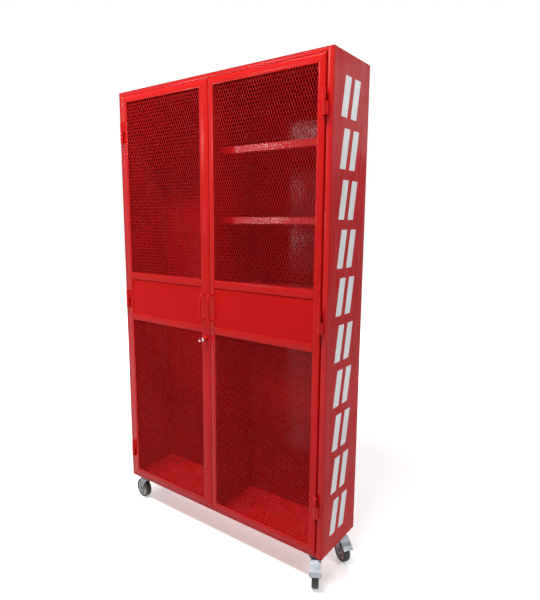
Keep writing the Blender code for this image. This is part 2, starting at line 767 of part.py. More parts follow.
def bolt_holes(name, radius):
    """Cutters through the floor panel at the bolts of all four top plates."""
    place = (
        LEFT_CASTER_X - BOLT_SPACING_ACROSS / 2,
        FRONT_CASTER_Y - BOLT_SPACING_DEEP / 2,
        BOTTOM + SHEET / 2,
    )
    length = SHEET + 2 * OVERRUN
    holes = bolt_places(bare_cylinder(name, radius, length, place, "Z", BORE_SIDES))
    repeat(holes, 2, (RIGHT_CASTER_X - LEFT_CASTER_X, 0, 0))
    return repeat(holes, 2, (0, REAR_CASTER_Y - FRONT_CASTER_Y, 0))


def caster_plate(prefix, x, y):
    """A top plate with its ball race and kingpin, bolted up through the floor panel."""
    under = BOTTOM - CONTACT_GAP
    plate = bare_box(
        f"{prefix}_caster_plate",
        (x - PLATE_LENGTH / 2, y - PLATE_DEPTH / 2, under - PLATE_THICKNESS),
        (x + PLATE_LENGTH / 2, y + PLATE_DEPTH / 2, under),
    )
    buried = PLATE_THICKNESS / 2
    head_top = FORK_TOP - FORK_THICKNESS - CONTACT_GAP
    profile = [
        (0, -buried),
        (RACE_RADIUS, -buried),
        (RACE_RADIUS, RACE_UNDERSIDE),
        (KINGPIN_RADIUS, RACE_UNDERSIDE),
        (KINGPIN_RADIUS, head_top),
        (KINGPIN_HEAD_RADIUS, head_top),
        (KINGPIN_HEAD_RADIUS, head_top - KINGPIN_HEAD_HEIGHT),
        (0, head_top - KINGPIN_HEAD_HEIGHT),
    ]
    race = bare_turned("race_and_kingpin", profile, (x, y, BOTTOM), "Z", MEDIUM_SIDES)
    combine(plate, race, "UNION")
    seat = SHEET + CONTACT_GAP
    nut = -PLATE_THICKNESS - CONTACT_GAP
    profile = [
        (0, seat + BOLT_HEAD_HEIGHT),
        (BOLT_HEAD_RADIUS, seat + BOLT_HEAD_HEIGHT),
        (BOLT_HEAD_RADIUS, seat),
        (BOLT_RADIUS, seat),
        (BOLT_RADIUS, nut),
        (BOLT_HEAD_RADIUS, nut),
        (BOLT_HEAD_RADIUS, nut - BOLT_HEAD_HEIGHT),
        (0, nut - BOLT_HEAD_HEIGHT),
    ]
    first = (x - BOLT_SPACING_ACROSS / 2, y - BOLT_SPACING_DEEP / 2, BOTTOM)
    bolts = bolt_places(bare_turned("plate_bolts", profile, first, "Z", BOLT_SIDES))
    combine(plate, bolts, "UNION")
    finished(plate, ZINC)


def fork(prefix, swivel, braked):
    """A bent plate fork: a round head under the race and two legs down to the axle."""
    axle = (CASTER_TRAIL, AXLE_DROP)
    head_low = FORK_TOP - FORK_THICKNESS
    outline = [(-FORK_BACK, FORK_TOP)]
    outline += arc(axle, FORK_END_RADIUS, 200, 350, 2 * ARC_STEPS)
    outline += [(FORK_FRONT, FORK_TOP)]
    side = bare_bar(f"{prefix}_fork", [outline], 2 * FORK_OUTER, (0, 0, 0), "Y")
    shape = merged(f"{prefix}_fork", [side])
    reach = CASTER_TRAIL + WHEEL_RADIUS
    space = bare_box(
        f"{prefix}_wheel_space",
        (-reach, -FORK_INNER, AXLE_DROP - reach),
        (reach, FORK_INNER, head_low),
    )
    combine(shape, space, "DIFFERENCE", swivel)
    head = bare_cylinder(
        f"{prefix}_head",
        FORK_HEAD_RADIUS,
        FORK_THICKNESS,
        (0, 0, FORK_TOP - FORK_THICKNESS / 2),
        "Z",
        MEDIUM_SIDES,
    )
    combine(shape, head, "UNION", swivel)
    cuts = [
        (KINGPIN_RADIUS + KINGPIN_CLEARANCE, (0, 0, FORK_TOP), "Z", FORK_THICKNESS + OVERRUN),
        (AXLE_RADIUS + AXLE_CLEARANCE, (CASTER_TRAIL, 0, AXLE_DROP), "Y", FORK_OUTER + OVERRUN),
    ]
    if braked:
        pivot = (PEDAL_PIVOT[0], 0, PEDAL_PIVOT[1])
        cuts.append((PEDAL_PIN_RADIUS + AXLE_CLEARANCE, pivot, "Y", FORK_OUTER + OVERRUN))
    for radius, centre, along, half_length in cuts:
        hole = bare_cylinder(
            f"{prefix}_fork_hole", radius, 2 * half_length, centre, along, COARSE_SIDES
        )
        combine(shape, hole, "DIFFERENCE", swivel)
    finished(shape, ZINC, swivel)


def wheel(prefix, swivel):
    """The tyre and its core on an axle bolt, about an axis across the fork."""
    spin = bpy.data.objects.new(f"{prefix}_wheel_axis", None)
    spin.location = (CASTER_TRAIL, 0, AXLE_DROP)
    spin.parent = swivel
    PARTS.objects.link(spin)
    head = FORK_OUTER + CONTACT_GAP
    end = head + AXLE_HEAD_LENGTH
    profile = [
        (0, end),
        (AXLE_HEAD_RADIUS, end),
        (AXLE_HEAD_RADIUS, head),
        (AXLE_RADIUS, head),
        (AXLE_RADIUS, -head),
        (AXLE_HEAD_RADIUS, -head),
        (AXLE_HEAD_RADIUS, -end),
        (0, -end),
    ]
    place = tuple(spin.location)
    finished(bare_turned(f"{prefix}_axle", profile, place, "Y", COARSE_SIDES), ZINC, swivel)
    bore = AXLE_RADIUS + AXLE_CLEARANCE
    half, hub = CORE_WIDTH / 2, HUB_WIDTH / 2
    ring = [
        (bore, hub),
        (HUB_RADIUS, hub),
        (HUB_RADIUS, half),
        (CORE_RADIUS, half),
        (CORE_RADIUS, -half),
        (HUB_RADIUS, -half),
        (HUB_RADIUS, -hub),
        (bore, -hub),
    ]
    core = bare_turned(f"{prefix}_wheel_core", ring, (0, 0, 0), "Y", FINE_SIDES, closed=True)
    finished(core, GREY_CORE, spin)
    inner = CORE_RADIUS + CONTACT_GAP
    wide = TYRE_WIDTH / 2
    ring = [
        (inner, wide),
        (WHEEL_RADIUS - TYRE_SHOULDER, wide),
        (WHEEL_RADIUS, wide - TYRE_SHOULDER),
        (WHEEL_RADIUS, TYRE_SHOULDER - wide),
        (WHEEL_RADIUS - TYRE_SHOULDER, -wide),
        (inner, -wide),
    ]
    tyre = bare_turned(f"{prefix}_tyre", ring, (0, 0, 0), "Y", FINE_SIDES, closed=True)
    finished(tyre, BLACK_RUBBER, spin)


def brake_pedal(prefix, swivel):
    """A bent plate over the wheel's rim, on cheeks and a pin across the fork."""
    pivot = bpy.data.objects.new(f"{prefix}_pedal_axis", None)
    pivot.location = (PEDAL_PIVOT[0], 0, PEDAL_PIVOT[1])
    pivot.parent = swivel
    PARTS.objects.link(pivot)
    upper = [
        (x - PEDAL_PIVOT[0], z - PEDAL_PIVOT[1])
        for x, z in (PEDAL_START, PEDAL_KINK, PEDAL_SHELF, PEDAL_TIP)
    ]
    lower = [(x - PEDAL_THICKNESS / 2, z - PEDAL_THICKNESS) for x, z in reversed(upper)]
    plate = bare_bar(
        f"{prefix}_brake_pedal", [upper + lower], PEDAL_WIDTH, (0, 0, 0), "Y"
    )
    shape = merged(f"{prefix}_brake_pedal", [plate])
    inside = FORK_OUTER + CONTACT_GAP
    tall = PEDAL_CHEEK_HEIGHT / 2
    sunk = PEDAL_THICKNESS / 2
    start, kink = ((x - sunk / 2, z - sunk) for x, z in upper[:2])
    cheek_outline = [(-tall, -tall), kink, start, (-tall, tall)]
    outside = PEDAL_WIDTH / 2 - CONTACT_GAP
    middle = (inside + outside) / 2
    cheeks = [
        bare_bar(f"{prefix}_cheek", [cheek_outline], outside - inside, (0, way * middle, 0), "Y")
        for way in (-1, 1)
    ]
    combine(shape, merged(f"{prefix}_cheeks", cheeks), "UNION", pivot)
    pin = bare_cylinder(
        f"{prefix}_pedal_pin", PEDAL_PIN_RADIUS, PEDAL_WIDTH - TUBE_WALL, (0, 0, 0), "Y", COARSE_SIDES
    )
    combine(shape, pin, "UNION", pivot)
    finished(shape, ZINC, pivot)


def casters():
    """Four swivel casters, each turned on its kingpin the way it came to rest."""
    for prefix, x, y, heading, braked in (
        ("front_left", LEFT_CASTER_X, FRONT_CASTER_Y, 173, False),
        ("front_right", RIGHT_CASTER_X, FRONT_CASTER_Y, -60, True),
        ("rear_left", LEFT_CASTER_X, REAR_CASTER_Y, 150, False),
        ("rear_right", RIGHT_CASTER_X, REAR_CASTER_Y, -32, True),
    ):
        swivel = bpy.data.objects.new(f"{prefix}_swivel_axis", None)
        swivel.location = (x, y, BOTTOM)
        swivel.rotation_euler = (0, 0, math.radians(heading))
        PARTS.objects.link(swivel)
        caster_plate(prefix, x, y)
        fork(prefix, swivel, braked)
        wheel(prefix, swivel)
        if braked:
            brake_pedal(prefix, swivel)


panels()
front_frame()
partition()
shelves()
left_hinge = door("left", 1, LEFT_MEETING_WIDTH, LEFT_HANDLE_INSET, LEFT_HINGE_SHARES)
door("right", -1, RIGHT_MEETING_WIDTH, RIGHT_HANDLE_INSET, RIGHT_HINGE_SHARES)
lock(left_hinge)
casters()
for item in bpy.data.objects:
    if item.parent is None:
        item.location.x -= MIDDLE_SHIFT
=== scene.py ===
"""Looks of a red steel emergency cabinet on casters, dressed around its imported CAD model.

The file follows the cabinet as a workshop puts it together: the painted sheet body and its front
frame, the doors with their welds, hinges, handles, expanded metal and lock, the casters, the white
side marks, and at last the room that it stands in. Metres, +Z up, the front towards -Y.
"""

import json
import math

import bmesh
import bpy
import numpy as np
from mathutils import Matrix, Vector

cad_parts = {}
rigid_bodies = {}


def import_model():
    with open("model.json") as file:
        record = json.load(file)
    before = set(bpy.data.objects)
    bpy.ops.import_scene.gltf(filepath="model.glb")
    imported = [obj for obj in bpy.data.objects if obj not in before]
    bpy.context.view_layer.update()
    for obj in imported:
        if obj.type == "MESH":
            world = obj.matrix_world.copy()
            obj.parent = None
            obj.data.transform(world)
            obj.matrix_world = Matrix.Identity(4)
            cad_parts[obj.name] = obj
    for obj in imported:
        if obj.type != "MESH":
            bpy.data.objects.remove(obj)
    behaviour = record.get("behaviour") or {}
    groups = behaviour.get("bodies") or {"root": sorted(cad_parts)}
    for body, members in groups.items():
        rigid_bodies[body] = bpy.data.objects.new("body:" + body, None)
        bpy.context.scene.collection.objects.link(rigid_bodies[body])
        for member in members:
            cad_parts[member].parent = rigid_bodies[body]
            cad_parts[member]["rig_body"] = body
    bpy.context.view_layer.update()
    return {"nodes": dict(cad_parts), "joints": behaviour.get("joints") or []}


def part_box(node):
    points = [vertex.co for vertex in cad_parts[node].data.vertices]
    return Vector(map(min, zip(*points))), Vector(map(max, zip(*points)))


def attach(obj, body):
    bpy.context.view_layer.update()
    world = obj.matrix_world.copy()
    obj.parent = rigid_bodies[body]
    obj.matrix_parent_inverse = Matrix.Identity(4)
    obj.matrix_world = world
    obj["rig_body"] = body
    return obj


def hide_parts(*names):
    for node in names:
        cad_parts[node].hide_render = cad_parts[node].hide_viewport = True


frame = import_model()
nodes = frame["nodes"]


# Painted body. Floor, top, sides, back, partition and shelves are folded from 1.5 mm steel sheet, tacked
# to a front frame of tube and sprayed with gloss red enamel. The darker red inside is painted shade and
# the brighter red on the floor pan is painted light. The spray leaves a fine orange peel and follows the
# slight waves of the thin sheet.

SHEET = 0.0015
FOLD_RADIUS = 0.0020
SHEET_EDGE_RADIUS = 0.0004
OPEN_REACH = 10.0
MERGE_DISTANCE = 1e-6
FLAT_ANGLE = math.radians(1)
EDGE_ANGLE = math.radians(35)
RED = (0.52, 0.008, 0.008, 1.0)
# Painted shade: the darker red of the inner faces stands in for the shade inside the box.
SHADED_INNER_RED = (0.36, 0.006, 0.006, 1.0)
# Painted light: the brighter red of the floor pan stands in for the light falling on it.
LIT_FLOOR_RED = (0.64, 0.010, 0.010, 1.0)
DUST_COLOUR = (0.45, 0.33, 0.30, 1.0)
# Pale pink streaks: partly marks left by wiping, partly a painted reflection.
SMEAR_AND_SHEEN_COLOUR = (0.62, 0.44, 0.48, 1.0)
PEEL_DEPTH = 0.0004
WAVE_DEPTH = 0.012


def new_group(name, inputs, outputs):
    """An empty shader node group with named sockets, and its input and output nodes."""
    group = bpy.data.node_groups.new(name, "ShaderNodeTree")
    kinds = {"colour": "NodeSocketColor", "value": "NodeSocketFloat", "vector": "NodeSocketVector"}
    for socket_name, kind, default in inputs:
        socket = group.interface.new_socket(socket_name, in_out="INPUT", socket_type=kinds[kind])
        socket.default_value = default
    for socket_name, kind in outputs:
        group.interface.new_socket(socket_name, in_out="OUTPUT", socket_type=kinds[kind])
    return group, group.nodes.new("NodeGroupInput"), group.nodes.new("NodeGroupOutput")


def noise(tree, coordinates, scale, detail=2.0, roughness=0.5):
    """Noise on a vector socket, about 1 / scale metres from hill to hill."""
    node = tree.nodes.new("ShaderNodeTexNoise")
    node.inputs["Scale"].default_value = scale
    node.inputs["Detail"].default_value = detail
    node.inputs["Roughness"].default_value = roughness
    tree.links.new(coordinates, node.inputs["Vector"])
    return node.outputs["Fac"]


def remap(tree, value, low, high, to_low, to_high):
    """Moves a value from one range to another, held at the ends."""
    node = tree.nodes.new("ShaderNodeMapRange")
    for name, number in (("From Min", low), ("From Max", high), ("To Min", to_low), ("To Max", to_high)):
        node.inputs[name].default_value = number
    tree.links.new(value, node.inputs["Value"])
    return node.outputs["Result"]


def arithmetic(tree, operation, first, second):
    """A Math node on two sockets or numbers."""
    node = tree.nodes.new("ShaderNodeMath")
    node.operation = operation
    for socket, value in zip(node.inputs, (first, second)):
        if isinstance(value, (int, float)):
            socket.default_value = value
        else:
            tree.links.new(value, socket)
    return node.outputs["Value"]


def mixed_colour(tree, factor, first, second):
    """A Mix node on two colours, each a socket or four numbers."""
    node = tree.nodes.new("ShaderNodeMix")
    node.data_type = "RGBA"
    tree.links.new(factor, node.inputs["Factor"])
    for socket, value in ((node.inputs[6], first), (node.inputs[7], second)):
        if isinstance(value, tuple):
            socket.default_value = value
        else:
            tree.links.new(value, socket)
    return node.outputs[2]


def sprayed_surface():
    """Group: the colour, roughness and normal of sprayed enamel on thin steel.

    The colour drifts in soft clouds, dust greys what faces up, and pale pink streaks run down upright
    faces, partly marks left by wiping and partly a painted reflection. The height is a sum of waves as
    long as a hand, from the sheet, and orange peel of a few millimetres, from the spray.
    """
    tree, source, result = new_group(
        "sprayed_surface",
        [
            ("Paint", "colour", RED),
            ("Dust", "value", 0.15),
            ("Peel", "value", 0.25),
            ("Sheet waves", "value", 0.3),
            ("Gloss roughness", "value", 0.16),
            ("Smears and sheen", "value", 0.0),
        ],
        [("Colour", "colour"), ("Roughness", "value"), ("Normal", "vector")],
    )
    where = tree.nodes.new("ShaderNodeTexCoord")
    place = where.outputs["Object"]
    clouds = noise(tree, place, 3.0, 3.0)
    darker = tree.nodes.new("ShaderNodeHueSaturation")
    tree.links.new(source.outputs["Paint"], darker.inputs["Color"])
    tree.links.new(remap(tree, clouds, 0.3, 0.7, 0.90, 1.06), darker.inputs["Value"])
    split = tree.nodes.new("ShaderNodeSeparateXYZ")
    tree.links.new(where.outputs["Normal"], split.inputs["Vector"])
    facing_up = remap(tree, split.outputs["Z"], 0.6, 1.0, 0.0, 1.0)
    specks = remap(tree, noise(tree, place, 140.0, 4.0, 0.7), 0.50, 0.75, 0.15, 1.0)
    patches = remap(tree, noise(tree, place, 9.0, 4.0), 0.40, 0.65, 0.1, 1.0)
    dust = arithmetic(tree, "MULTIPLY", arithmetic(tree, "MULTIPLY", specks, patches), facing_up)
    dust = arithmetic(tree, "MULTIPLY", dust, source.outputs["Dust"])
    colour = mixed_colour(tree, dust, darker.outputs["Color"], DUST_COLOUR)
    drawn_out = tree.nodes.new("ShaderNodeMapping")
    drawn_out.inputs["Scale"].default_value = (1.0, 1.0, 0.12)
    tree.links.new(place, drawn_out.inputs["Vector"])
    streaks = remap(tree, noise(tree, drawn_out.outputs["Vector"], 26.0, 5.0, 0.6), 0.40, 0.72, 0.0, 1.0)
    # The streaks' strength: partly marks left by wiping, partly a painted reflection.
    smear_and_sheen_streaks = remap(tree, noise(tree, place, 5.0, 3.0), 0.35, 0.65, 0.25, 1.0)
    smear_and_sheen_streaks = arithmetic(tree, "MULTIPLY", streaks, smear_and_sheen_streaks)
    smear_and_sheen_streaks = arithmetic(tree, "MULTIPLY", smear_and_sheen_streaks, source.outputs["Smears and sheen"])
    colour = mixed_colour(tree, smear_and_sheen_streaks, colour, SMEAR_AND_SHEEN_COLOUR)
    tree.links.new(colour, result.inputs["Colour"])
    smears_and_sheen = remap(tree, noise(tree, place, 18.0, 5.0, 0.6), 0.35, 0.70, -0.03, 0.07)
    rough = arithmetic(tree, "ADD", source.outputs["Gloss roughness"], smears_and_sheen)
    rough = arithmetic(tree, "ADD", rough, arithmetic(tree, "MULTIPLY", dust, 0.5))
    tree.links.new(rough, result.inputs["Roughness"])
    peel = tree.nodes.new("ShaderNodeBump")
    peel.inputs["Distance"].default_value = PEEL_DEPTH
    tree.links.new(source.outputs["Peel"], peel.inputs["Strength"])
    tree.links.new(noise(tree, place, 260.0, 1.0), peel.inputs["Height"])
    waves = tree.nodes.new("ShaderNodeBump")
    waves.inputs["Distance"].default_value = WAVE_DEPTH
    tree.links.new(source.outputs["Sheet waves"], waves.inputs["Strength"])
    tree.links.new(noise(tree, place, 4.5, 1.0), waves.inputs["Height"])
    tree.links.new(peel.outputs["Normal"], waves.inputs["Normal"])
    tree.links.new(waves.outputs["Normal"], result.inputs["Normal"])
    return tree


SPRAYED = sprayed_surface()


def new_material(name):
    """A Principled material, its node tree and its shader."""
    made = bpy.data.materials.new(name)
    made.use_nodes = True
    return made, made.node_tree, made.node_tree.nodes["Principled BSDF"]


def enamel(
    name, paint=RED, dust=0.15, peel=0.25, sheet_waves=0.3, gloss=0.16, specular=0.25, smears_and_sheen=0.0
):
    """Gloss enamel: the sprayed surface on a Principled shader."""
    made, tree, shader = new_material(name)
    shader.inputs["Specular IOR Level"].default_value = specular
    sprayed = tree.nodes.new("ShaderNodeGroup")
    sprayed.node_tree = SPRAYED
    for socket, value in (
        ("Paint", paint),
        ("Dust", dust),
        ("Peel", peel),
        ("Sheet waves", sheet_waves),
        ("Gloss roughness", gloss),
        ("Smears and sheen", smears_and_sheen),
    ):
        sprayed.inputs[socket].default_value = value
    for output, socket in (("Colour", "Base Color"), ("Roughness", "Roughness"), ("Normal", "Normal")):
        tree.links.new(sprayed.outputs[output], shader.inputs[socket])
    return made


def placed(name, data):
    """A new object of a mesh, camera or lamp, linked to the scene."""
    piece = bpy.data.objects.new(name, data)
    bpy.context.scene.collection.objects.link(piece)
    return piece


def coat(node_name, finish):
    """Puts a finish in every material slot of a CAD node."""
    for material_slot in nodes[node_name].material_slots:
        material_slot.material = finish


def softened(node_name, radius, finish, steps=2):
    """A copy of a CAD node with its edges rounded.

    The loose triangles are merged and flat neighbours joined to whole faces; every edge that turns
    more than 35 degrees then gets a round bevel of the given radius.
    """
    shape = bmesh.new()
    shape.from_mesh(nodes[node_name].data)
    bmesh.ops.remove_doubles(shape, verts=shape.verts, dist=MERGE_DISTANCE)
    bmesh.ops.dissolve_limit(shape, angle_limit=FLAT_ANGLE, verts=shape.verts, edges=shape.edges)
    mesh = bpy.data.meshes.new(f"softened_{node_name}")
    shape.to_mesh(mesh)
    shape.free()
    piece = placed(f"softened_{node_name}", mesh)
    mesh.materials.append(finish)
    round_edges(piece, radius, steps)
    stand_in(piece, nodes[node_name]["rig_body"], node_name)
    return piece


def round_edges(piece, radius, steps=2):
    """Rounds every edge of a piece that turns more than 35 degrees."""
    bevel = piece.modifiers.new("rounded_edges", "BEVEL")
    bevel.width = radius
    bevel.segments = steps
    bevel.limit_method = "ANGLE"
    bevel.angle_limit = EDGE_ANGLE
    bevel.use_clamp_overlap = True


def stand_in(piece, body, *replaced, slot="body_paint"):
    """Lets a piece ride on a body and stand for CAD nodes; its slot argument is not used."""
    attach(piece, body)
    if replaced:
        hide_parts(*replaced)


def skinned(name, rings, finish, looped=False, crease=40):
    """Closed tubes of quads through rings of points.

    rings[tube, station, corner] holds points. Quads join every ring to the next one. The first and
    last rings are closed by a flat face each, or joined to each other when the tube is looped. Edges
    that turn more than the crease, in degrees, stay sharp.
    """
    tubes, stations, corners = rings.shape[:3]
    index = np.arange(tubes * stations * corners).reshape(tubes, stations, corners)
    if looped:
        here, ahead = index, np.roll(index, -1, axis=1)
    else:
        here, ahead = index[:, :-1], index[:, 1:]
    walls = np.stack([here, np.roll(here, -1, 2), np.roll(ahead, -1, 2), ahead], axis=-1)
    faces = walls.reshape(-1, 4).tolist()
    if not looped:
        faces += index[:, 0, ::-1].tolist() + index[:, -1].tolist()
    mesh = bpy.data.meshes.new(name)
    mesh.from_pydata(rings.reshape(-1, 3).tolist(), [], faces)
    shape = bmesh.new()
    shape.from_mesh(mesh)
    bmesh.ops.recalc_face_normals(shape, faces=shape.faces)
    shape.to_mesh(mesh)
    shape.free()
    mesh.polygons.foreach_set("use_smooth", np.ones(len(mesh.polygons), bool))
    mesh.set_sharp_from_angle(angle=math.radians(crease))
    mesh.materials.append(finish)
    return placed(name, mesh)


def rounded(corners, radii, steps=4):
    """An outline with its corners turned into arcs.

    An arc of radius r touches both sides at r / tan(half the corner's angle) from the corner, and its
    centre lies r / sin(half the angle) along the line that halves it. Radius 0 keeps the corner.
    """
    corners = np.asarray(corners, float)
    radii = np.broadcast_to(radii, len(corners))
    outline = []
    for before, corner, after, radius in zip(
        np.roll(corners, 1, 0), corners, np.roll(corners, -1, 0), radii
    ):
        if radius == 0:
            outline.append(corner[None])
            continue
        back = (before - corner) / np.linalg.norm(before - corner)
        on = (after - corner) / np.linalg.norm(after - corner)
        half = math.acos(np.clip(back @ on, -1, 1)) / 2
        middle = (back + on) / np.linalg.norm(back + on)
        centre = corner + middle * radius / math.sin(half)
        first = corner + back * radius / math.tan(half) - centre
        last = corner + on * radius / math.tan(half) - centre
        share = np.linspace(0, 1, steps)[:, None]
        turn = math.pi - 2 * half
        arc = (np.sin((1 - share) * turn) * first + np.sin(share * turn) * last) / math.sin(turn)
        outline.append(centre + arc)
    return np.concatenate(outline)


def rectangle(low_x, low_y, high_x, high_y):
    """The four corners of a rectangle, once round."""
    return [(low_x, low_y), (high_x, low_y), (high_x, high_y), (low_x, high_y)]


def bar(name, low, high, along, radius, finish):
    """A bar between two corners: a rounded rectangle carried straight along axis 0, 1 or 2."""
    low, high = np.array(low, float), np.array(high, float)
    first, second = [axis for axis in range(3) if axis != along]
    outline = rounded(rectangle(low[first], low[second], high[first], high[second]), radius)
    rings = np.empty((1, 2, len(outline), 3))
    rings[..., first] = outline[:, 0]
    rings[..., second] = outline[:, 1]
    rings[0, :, :, along] = np.array([low[along], high[along]])[:, None]
    return skinned(name, rings, finish)


def folded_wrapper(name, low, high, finish):
    """Both sides and the top in one folded sheet, an upside-down U seen from the front.

    The outer line runs up the left side, round an arc of the fold's radius, across the top and down.
    The inner line runs the sheet's thickness inside it, round the same arc centres.
    """
    turn = np.linspace(0, np.pi / 2, 7)
    angles = np.concatenate([np.pi - turn, np.pi / 2 - turn])
    centre_x = np.repeat([low[0] + FOLD_RADIUS, high[0] - FOLD_RADIUS], len(turn))
    centre_z = high[2] - FOLD_RADIUS
    rings = np.empty((1, len(angles) + 2, 4, 3))
    for corners, reach in (((0, 1), FOLD_RADIUS), ((2, 3), FOLD_RADIUS - SHEET)):
        across = centre_x + reach * np.cos(angles)
        up = centre_z + reach * np.sin(angles)
        rings[0, :, corners, 0] = np.concatenate([across[:1], across, across[-1:]])
        rings[0, :, corners, 2] = np.concatenate([[low[2]], up, [low[2]]])
    rings[..., 1] = np.array([low[1], high[1], high[1], low[1]])
    return skinned(name, rings, finish)


def paint_inside_shade(finish, low, high):
    """Paints shade into an enamel: the darker inner red on the inner faces of the body's sheets.

    A place is inside where |place - middle of the box| - half the box is below 0 along every
    axis, for the box through the middle of the sheets' thickness, open to the front and below.
    """
    tree = finish.node_tree
    middle = ((low[0] + high[0]) / 2, high[1] - SHEET / 2 - OPEN_REACH, high[2] - SHEET / 2 - OPEN_REACH)
    half = ((high[0] - low[0] - SHEET) / 2, OPEN_REACH, OPEN_REACH)
    beyond = tree.nodes.new("ShaderNodeTexCoord").outputs["Object"]
    for operation, amount in (("SUBTRACT", middle), ("ABSOLUTE", None), ("SUBTRACT", half)):
        step = tree.nodes.new("ShaderNodeVectorMath")
        step.operation = operation
        tree.links.new(beyond, step.inputs[0])
        if amount:
            step.inputs[1].default_value = amount
        beyond = step.outputs["Vector"]
    split = tree.nodes.new("ShaderNodeSeparateXYZ")
    tree.links.new(beyond, split.inputs["Vector"])
    farthest = arithmetic(tree, "MAXIMUM", split.outputs["X"], split.outputs["Y"])
    farthest = arithmetic(tree, "MAXIMUM", farthest, split.outputs["Z"])
    outside = arithmetic(tree, "GREATER_THAN", farthest, 0.0)
    sprayed = next(node for node in tree.nodes if node.type == "GROUP")
    tree.links.new(mixed_colour(tree, outside, SHADED_INNER_RED, RED), sprayed.inputs["Paint"])


# On the outer and back sheets the pale streaks are partly marks left by wiping, partly a painted
# reflection.
sheet_enamel = enamel("gloss_red_on_sheet", sheet_waves=0.35, specular=0.03, smears_and_sheen=0.10)
# Painted shade: the partition wears the darker inner red.
shaded_inner_enamel = enamel("gloss_red_with_painted_inside_shade", SHADED_INNER_RED, sheet_waves=0.25, gloss=0.24, specular=0.05)
back_enamel = enamel("gloss_red_on_back_sheet", sheet_waves=0.35, specular=0.14, smears_and_sheen=0.03)
shelf_enamel = enamel("gloss_red_on_shelves", sheet_waves=0.08, gloss=0.14, specular=0.40)
# Painted light: the floor pan gets a brighter red.
lit_floor_enamel = enamel("gloss_red_with_painted_floor_light", LIT_FLOOR_RED, sheet_waves=0.25, gloss=0.24, specular=0.05)
floor_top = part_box("floor_panel")[1][2]
left_side_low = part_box("left_side_panel")[0]
right_side_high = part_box("right_side_panel")[1]
body_low = (left_side_low[0], left_side_low[1], floor_top)
body_high = (right_side_high[0], right_side_high[1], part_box("top_panel")[1][2])
# Painted shade: the sheets' inner faces take the darker inner red.
for finish in (sheet_enamel, back_enamel):
    paint_inside_shade(finish, body_low, body_high)
wrapper = folded_wrapper("folded_sides_and_top", body_low, body_high, sheet_enamel)
round_edges(wrapper, SHEET_EDGE_RADIUS)
stand_in(wrapper, "cabinet", "top_panel", "left_side_panel", "right_side_panel")
back_sheet = bar(
    "back_sheet",
    (body_low[0] + SHEET, body_high[1] - SHEET, floor_top),
    (body_high[0] - SHEET, body_high[1], body_high[2] - SHEET),
    0,
    SHEET_EDGE_RADIUS,
    back_enamel,
)
stand_in(back_sheet, "cabinet", "back_panel")
coat("floor_panel", lit_floor_enamel)
coat("partition", shaded_inner_enamel)
for name in ("upper_shelf", "middle_shelf", "lower_shelf"):
    softened(name, SHEET_EDGE_RADIUS, shelf_enamel)


# Front frame. Two posts and two rails of 28 mm steel tube with round corners, welded at the corners,
# ground flush and sprayed with the body. The partition's flat edge bar stands behind the door seam.

TUBE_CORNER = 0.0022
BAR_CORNER = 0.0007
WELD_GAP = 0.0003
tube_enamel = enamel("gloss_red_on_tube", sheet_waves=0.05, specular=0.16)
rail_low, rail_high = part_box("front_top_rail")
foot_low, foot_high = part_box("front_bottom_rail")
for level, low, high in (("top", rail_low, rail_high), ("bottom", foot_low, foot_high)):
    rail = bar(f"{level}_frame_rail", low, high, 0, TUBE_CORNER, tube_enamel)
    stand_in(rail, "cabinet", f"front_{level}_rail")
for side, ends in (
    ("left", (body_low[0] + SHEET + WELD_GAP, rail_low[0] - WELD_GAP)),
    ("right", (rail_high[0] + WELD_GAP, body_high[0] - SHEET - WELD_GAP)),
):
    post = bar(
        f"{side}_frame_post",
        (ends[0], rail_low[1], foot_low[2]),
        (ends[1], rail_high[1], rail_high[2]),
        2,
        TUBE_CORNER,
        tube_enamel,
    )
    stand_in(post, "cabinet", f"front_{side}_post")
strip = bar("partition_edge_bar", *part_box("partition_edge_strip"), 2, BAR_CORNER, tube_enamel)
stand_in(strip, "cabinet", "partition_edge_strip")


# Doors. Each door is a frame of 3 mm angle iron, mitred and welded at the corners, with two flat mid
# rails and a folded sheet panel tacked in between them, and sprayed with the cabinet.

ANGLE = 0.003
ANGLE_CORNER = 0.0012
MITRE_GAP = 0.0001
HALF_DOOR_GAP = 0.0015
door_enamel = enamel("gloss_red_on_angle_iron", sheet_waves=0.06, specular=0.10)
panel_enamel = enamel("gloss_red_on_door_panel", sheet_waves=0.30, specular=0.03)
joint_origins = {joint["name"]: joint["pos_m"] for joint in frame["joints"]}
# For each side, the lines from outer to inner corner that the welds follow.
mitre_lines = {}


def angle_profile(width, depth):
    """The L section of an angle iron: how far each point lies from the door's edge and its face.

    The flat leg runs from the edge inwards over the width, the other leg runs back from the edge.
    """
    corners = [(0, 0), (width, 0), (width, ANGLE), (ANGLE, ANGLE), (ANGLE, depth), (0, depth)]
    return rounded(corners, ANGLE_CORNER, steps=3)


def mitred_member(name, edge, inward, width, ends, face, depth, finish, upright):
    """One member of a door frame, with both ends cut on the line from outer to inner corner.

    A profile point past the middle of the leg keeps its distance to the leg's inner edge, the others
    keep theirs to the outer edge. At an end, the point lies the same way from that end's own edge, so
    the members of both widths meet along one slanting line.
    """
    profile = angle_profile(width, depth)
    on_leg = profile[:, 0] > width / 2
    from_edge = profile[:, 0]
    from_inner = profile[:, 0] - width
    rings = np.empty((1, 2, len(profile), 3))
    across, lengthways = (0, 2) if upright else (2, 0)
    rings[..., across] = edge + inward * from_edge
    rings[..., 1] = face + profile[:, 1]
    for station, (end, end_inward, end_width) in enumerate(ends):
        reach = np.where(on_leg, end_width + from_inner, from_edge) + MITRE_GAP
        rings[0, station, :, lengthways] = end + end_inward * reach
    return skinned(name, rings, finish)


